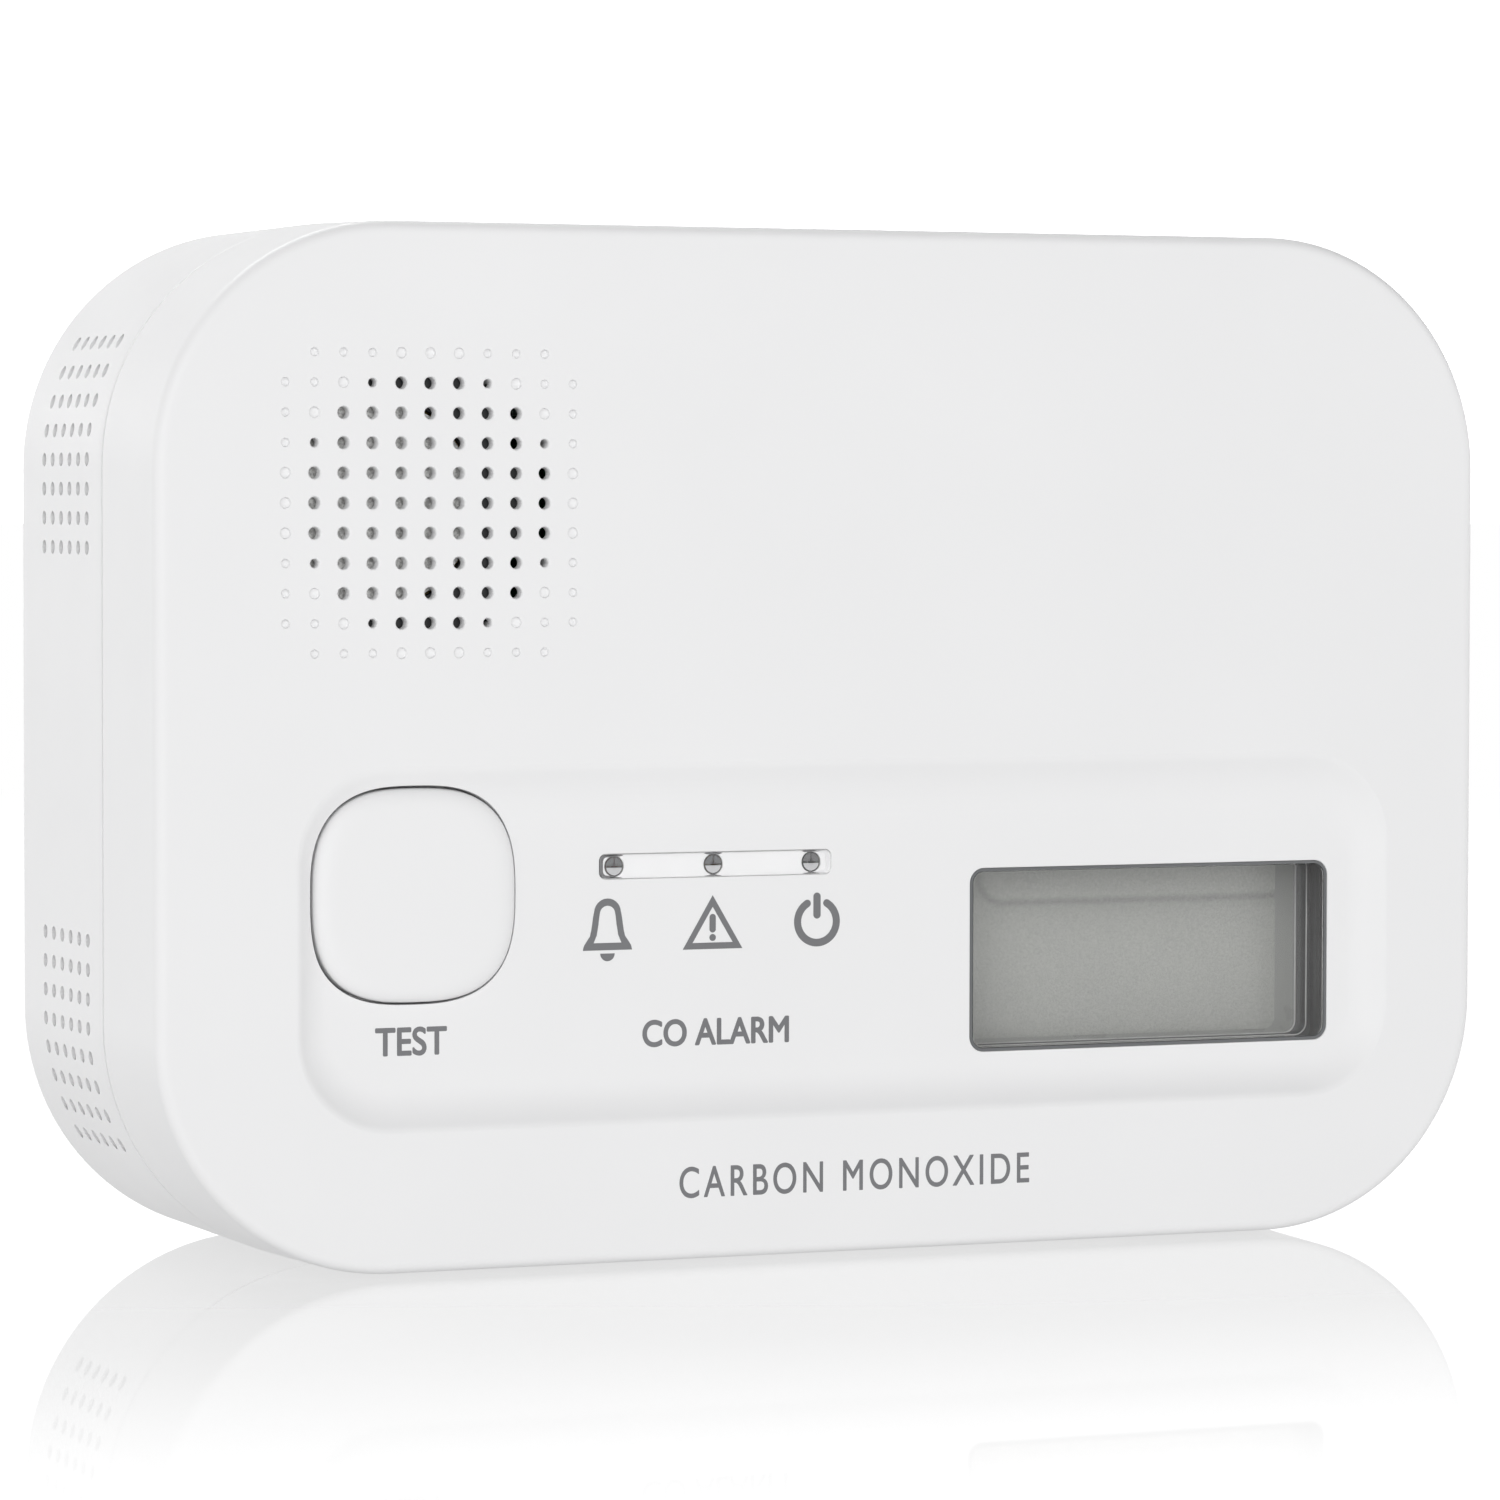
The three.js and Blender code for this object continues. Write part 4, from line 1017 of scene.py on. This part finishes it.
def flat_mark(name, shapes, surface_y, finish=INK):
    """Closed 2-D outlines as a thin layer, of ink as a rule. Outlines inside others become holes."""
    curve = bpy.data.curves.new(name, "CURVE")
    curve.dimensions = "2D"
    curve.fill_mode = "BOTH"
    curve.extrude = INK_FRONT / 2
    for outline in shapes:
        spline = curve.splines.new("POLY")
        spline.points.add(len(outline) - 1)
        for point, (x, z) in zip(spline.points, outline):
            point.co = (x, z, 0, 1)
        spline.use_cyclic_u = True
    mesh = curve_mesh(curve)
    mesh.transform(Matrix.Translation((0, surface_y, 0)) @ Matrix.Rotation(math.radians(90), 4, "X"))
    piece(name, mesh, finish, "case", weighted=False)


def arc(cx, cz, radius, start, end, steps=12):
    angles = [math.radians(start + (end - start) * i / steps) for i in range(steps + 1)]
    return [(cx + radius * math.cos(angle), cz + radius * math.sin(angle)) for angle in angles]


def shifted(outline, x, z):
    return [(x + px, z + pz) for px, pz in outline]


def capsule(cx, z0, z1, radius):
    return arc(cx, z1 - radius, radius, 0, 180) + arc(cx, z0 + radius, radius, 180, 360)


def bell_outlines(cx, base):
    turn = [math.radians(angle) for angle in range(5, 90, 12)]
    outer = [(2.25, 0.0), (2.15, 0.4), (1.85, 0.85), (1.6, 1.2), (1.48, 1.7), (1.3, 2.9)]
    outer += [(1.22 * math.cos(angle), 3.2 + 1.2 * math.sin(angle)) for angle in turn]
    inner = [(1.27, 0.62), (0.98, 1.3), (0.83, 2.2), (0.74, 2.95)]
    inner += [(0.7 * math.cos(angle), 3.1 + 0.68 * math.sin(angle)) for angle in turn]
    shapes = []
    for side in (outer, inner):
        mirrored = [(-x, z) for x, z in reversed(side)]
        shapes.append(shifted(side + mirrored, cx, base))
    shapes.append(arc(cx, base - 0.28, 0.66, 180, 360))
    return shapes


def warning_outlines(cx, base):
    outer = [(cx - 2.76, base), (cx + 2.76, base), (cx, base + 4.6)]
    inner = [(cx - 1.86, base + 0.55), (cx + 1.86, base + 0.55), (cx, base + 3.62)]
    return [outer, inner, capsule(cx, base + 1.4, base + 3.0, 0.29), arc(cx, base + 0.98, 0.3, 0, 345, 20)]


def power_outlines(cx, cz):
    mid, half, gap = 1.82, 0.33, 30
    end_x, end_z = mid * math.sin(math.radians(gap)), mid * math.cos(math.radians(gap))
    ring = arc(cx, cz, mid + half, 90 + gap, 450 - gap, 48)
    ring += arc(cx + end_x, cz + end_z, half, 90 - gap, 90 - gap + 180, 8)[1:-1]
    ring += arc(cx, cz, mid - half, 450 - gap, 90 + gap, 48)
    ring += arc(cx - end_x, cz + end_z, half, 270 + gap, 270 + gap + 180, 8)[1:-1]
    return [ring, capsule(cx, cz + 0.25, cz + 2.5, 0.34)]


def painted_lamp_end_outlines(x, z):
    """Painted shade and painted reflections for the head of a leg: the dark upper half in two panes, and
    dark marks at the top and bottom edges of the bar for the leg's reflections in them.
    """
    left = arc(0, 0.02, 0.74, 94, 176) + [(-0.04, 0.02)]
    painted_reflection_top = [(-0.85, 0.93), (-0.6, 0.84), (0.6, 0.84), (0.85, 0.93), (0.5, 0.97), (-0.5, 0.97)]
    painted_reflection_low = [(-0.85, -0.98), (-0.38, -0.93), (-0.12, -0.86), (0, -0.76), (0.12, -0.86), (0.38, -0.93),
                 (0.85, -0.98)]
    right = [(-px, pz) for px, pz in reversed(left)]
    return [shifted(outline, x, z) for outline in (left, right, painted_reflection_top, painted_reflection_low)]


def painted_end_shade_outline(x, z, side):
    """A rounded bracket of painted shade in the end of the bar; side is 1 for an opening to the right."""
    outer = [(1.75, 0.96), *arc(0.64, 0.44, 0.52, 90, 180, 6), *arc(0.64, -0.44, 0.52, 180, 270, 6)]
    inner = [*reversed(arc(0.8, -0.42, 0.36, 180, 270, 6)), *reversed(arc(0.8, 0.42, 0.36, 90, 180, 6))]
    points = [*outer, (1.55, -0.96), (1.5, -0.87), *inner, (1.6, 0.82)]
    return [(x + side * px, z + pz) for px, pz in points]


LAMP_END_Y = DISH_Y + BAR_POCKET - 0.11
BAR_END = BAR_SIZE[0] / 2
# Flat marks at the bottom of the pocket, seen through the clear bar: painted shade on the upper half of each
# leg's head, painted light on its lower half, and painted reflections.
for name, at in LEGS.items():
    flat_mark(name + "_painted_shade", painted_lamp_end_outlines(*at), LAMP_END_Y, PAINTED_SHADE_DARK)
    flat_mark(name + "_painted_lit_half", [shifted(arc(0, -0.04, 0.72, 186, 354), *at)], LAMP_END_Y,
              PAINTED_LIGHT_GREY)
# Painted shade at the two ends of the bar, darker at the left end and fainter at the right.
flat_mark("light_bar_end_painted_shade_left", [painted_end_shade_outline(BAR_AT.x - BAR_END, BAR_AT.z, 1)], LAMP_END_Y, PAINTED_SHADE_DARK)
flat_mark("light_bar_end_painted_shade_right", [painted_end_shade_outline(BAR_AT.x + BAR_END, BAR_AT.z, -1)], LAMP_END_Y, PAINTED_SHADE_FAINT)

INK_Y = DISH_Y - INK_FRONT / 2
flat_mark("mark_bell", bell_outlines(FACE_LEFT + 40.4, 26.9), INK_Y)
flat_mark("mark_warning", warning_outlines(FACE_LEFT + 50.07, 26.75), INK_Y)
flat_mark("mark_power", power_outlines(FACE_LEFT + 59.8, 28.85), INK_Y)


def letters(text, spacing):
    """Plain capitals as a flat mesh, with corners merged."""
    font = bpy.data.curves.new("letters", "FONT")
    font.body = text
    font.size = 1
    font.space_character = spacing
    bm = bmesh.new()
    bm.from_mesh(curve_mesh(font))
    bmesh.ops.remove_doubles(bm, verts=bm.verts, dist=1e-4)
    return bm


def word(name, text, left, right, bottom, cap, surface_y, weight, spacing=1.0):
    """Capitals stretched to fill a width, made heavier by weight mm on every side."""
    bm = letters(text, spacing)
    low = [min(vert.co[i] for vert in bm.verts) for i in (0, 1)]
    high = [max(vert.co[i] for vert in bm.verts) for i in (0, 1)]
    scale_x = (right - left - 2 * weight) / (high[0] - low[0])
    scale_z = (cap - 2 * weight) / (high[1] - low[1])
    for vert in bm.verts:
        vert.co = Vector((left + weight + (vert.co.x - low[0]) * scale_x, surface_y - INK_FRONT / 2,
                          bottom + weight + (vert.co.y - low[1]) * scale_z))
    lifted = bmesh.ops.extrude_face_region(bm, geom=list(bm.faces))
    for item in lifted["geom"]:
        if isinstance(item, bmesh.types.BMVert):
            item.co.y += INK_FRONT
    bmesh.ops.recalc_face_normals(bm, faces=bm.faces)
    bmesh.ops.triangulate(bm, faces=bm.faces)
    points, faces = from_bmesh(bm)
    copies = []
    for i in range(8):
        angle = math.radians(45 * i)
        aside, up = weight * math.cos(angle), weight * math.sin(angle)
        copies.append(("join", ([(x + aside, y, z + up) for x, y, z in points], faces)))
    mesh = carved((points, faces), *copies)
    return piece(name, mesh, INK, "case", weighted=False)


word("mark_test", "TEST", FACE_LEFT + 19.5, FACE_LEFT + 25.9, 18.5, 2.45, DISH_Y, 0.07)
word("mark_model", "CO ALARM", FACE_LEFT + 43.6, FACE_LEFT + 57.2, 18.5, 2.35, DISH_Y, 0.075)
title = word("mark_title", "CARBON MONOXIDE", FACE_LEFT + 46.5, FACE_LEFT + 79.5, 5.6, 2.7, FACE_Y, 0.03,
             1.25)
title.visible_glossy = False
title.visible_diffuse = False
title.visible_shadow = False

# ---------- finishes of the CAD nodes that stay ----------
CARRIED = (
    (DARK, ("switch_body", "switch_plunger", "microcontroller", "horn_coil", "capacitor", "horn_housing",
            "horn_retainer", "sensor_body")),
    (STEEL, ("crystal", "sensor_cap", "board_screw_1", "board_screw_2", "board_screw_3", "board_screw_4")),
    (RUBBER, ("display_connector",)), (BOARD, ("circuit_board",)), (BRASS, ("piezo_plate",)),
    (CERAMIC, ("piezo_ceramic",)), (FILTER, ("sensor_filter",)),
)
for finish, kept_nodes in CARRIED:
    for node in kept_nodes:
        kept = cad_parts[node]
        kept.material_slots[0].link = "OBJECT"
        kept.material_slots[0].material = finish


# ---------- floor, light and camera ----------
FLOOR_REACH = 12.0
FLOOR_GLOW = 0.92
FLOOR_MIRROR = 0.88
FLOOR_FADE = (0.03, 0.155)  # metres from the case between which the mirror fades out
FLOOR_CLEAR = (0.25, 0.8)  # and between which the floor turns to plain white
SKY = ((-0.34, 0.5), (-0.2, 1.76), (0.16, 1.76), (0.32, 0.22), (0.9, 0.22))  # (sine of elevation, radiance)


def floor_material():
    """White gloss. Its mirror fades with distance from the case, and far away it only glows white."""
    made = bpy.data.materials.new("pale_floor")
    made.use_nodes = True
    tree = made.node_tree
    tree.nodes.clear()
    nodes, link = tree.nodes, tree.links.new

    def mixed(share, first, second):
        node = nodes.new("ShaderNodeMixShader")
        link(share, node.inputs["Fac"])
        link(first, node.inputs[1])
        link(second, node.inputs[2])
        return node.outputs["Shader"]

    def outside(axis, half):
        distance = maths(tree, "ABSOLUTE", split.outputs[axis])
        return maths(tree, "MAXIMUM", maths(tree, "SUBTRACT", distance, half), 0.0)

    split = nodes.new("ShaderNodeSeparateXYZ")
    link(nodes.new("ShaderNodeNewGeometry").outputs["Position"], split.inputs["Vector"])
    away = length_of(tree, outside("X", HALF_WIDTH * MM), outside("Y", BACK_Y * MM))
    fresnel = nodes.new("ShaderNodeFresnel")
    fresnel.inputs["IOR"].default_value = 1.5
    fading = spread(tree, away, FLOOR_MIRROR, 0.0, *FLOOR_FADE, "SMOOTHSTEP")
    mirror_share = maths(tree, "MULTIPLY", fading, fresnel.outputs["Fac"])
    matt = nodes.new("ShaderNodeBsdfPrincipled")
    matt.inputs["Base Color"].default_value = (0.2, 0.2, 0.2, 1)
    matt.inputs["Roughness"].default_value = 1.0
    matt.inputs["Specular IOR Level"].default_value = 0.0
    matt.inputs["Emission Color"].default_value = (1, 1, 1, 1)
    matt.inputs["Emission Strength"].default_value = FLOOR_GLOW
    mirror = nodes.new("ShaderNodeBsdfGlossy")
    mirror.inputs["Roughness"].default_value = 0.02
    glow = nodes.new("ShaderNodeEmission")
    near = mixed(mirror_share, matt.outputs["BSDF"], mirror.outputs["BSDF"])
    clearing = spread(tree, away, 0.0, 1.0, *FLOOR_CLEAR, "SMOOTHSTEP")
    whole = mixed(clearing, near, glow.outputs["Emission"])
    link(whole, nodes.new("ShaderNodeOutputMaterial").inputs["Surface"])
    return made


floor_mesh = bpy.data.meshes.new("floor")
corners = [(FLOOR_REACH * x, FLOOR_REACH * y, 0) for x, y in ((-1, -1), (1, -1), (1, 1), (-1, 1))]
floor_mesh.from_pydata(corners, [], [(0, 1, 2, 3)])
floor_mesh.materials.append(floor_material())
floor = bpy.data.objects.new("floor", floor_mesh)
floor.location.z = -0.00005
floor.visible_diffuse = False
bpy.context.scene.collection.objects.link(floor)


def studio_world():
    """A bright band all round at eye level, like a ring of softboxes, and dimmer above and below."""
    made = bpy.data.worlds.new("studio")
    bpy.context.scene.world = made
    made.use_nodes = True
    tree = made.node_tree
    split = tree.nodes.new("ShaderNodeSeparateXYZ")
    tree.links.new(tree.nodes.new("ShaderNodeTexCoord").outputs["Generated"], split.inputs["Vector"])
    height = maths(tree, "MULTIPLY_ADD", split.outputs["Z"], 0.5, 0.5)
    tone = graded(tree, height, greys([(0.5 + direction / 2, level) for direction, level in SKY]))
    tree.links.new(tone, tree.nodes["Background"].inputs["Color"])
    tree.nodes["Background"].inputs["Strength"].default_value = 1.0


studio_world()


def soft_light(name, at, toward, size, power):
    lamp_data = bpy.data.lights.new(name, "AREA")
    lamp_data.shape = "RECTANGLE"
    lamp_data.size, lamp_data.size_y = size
    lamp_data.energy = power
    made = bpy.data.objects.new(name, lamp_data)
    made.location = at
    made.rotation_euler = (Vector(toward) - Vector(at)).to_track_quat("-Z", "Y").to_euler()
    bpy.context.scene.collection.objects.link(made)


middle = (0, 0, HEIGHT * MM / 2)
soft_light("key_softbox", (-0.55, -1.1, 0.5), middle, (1.0, 0.8), 6.1)
soft_light("rim_softbox", (-0.1, 0.7, 0.95), middle, (0.9, 0.5), 9.0)

CAMERA_AT = (-0.21634, -0.50767, 0.06567)
CAMERA_HEADING, CAMERA_DIP, CAMERA_ROLL = (math.radians(angle) for angle in (-23.0122, 2.3616, 0.1006))
view = bpy.data.cameras.new("camera")
view.lens = 149.41
view.sensor_width = 36
view.clip_start, view.clip_end = 0.01, 50
camera = bpy.data.objects.new("camera", view)
camera.matrix_world = (
    Matrix.Translation(CAMERA_AT)
    @ Matrix.Rotation(CAMERA_HEADING, 4, "Z")
    @ Matrix.Rotation(math.pi / 2 - CAMERA_DIP, 4, "X")
    @ Matrix.Rotation(CAMERA_ROLL, 4, "Z")
)
bpy.context.scene.collection.objects.link(camera)
bpy.context.scene.camera = camera
bpy.context.scene.view_settings.view_transform = "Standard"

bpy.context.view_layer.update()
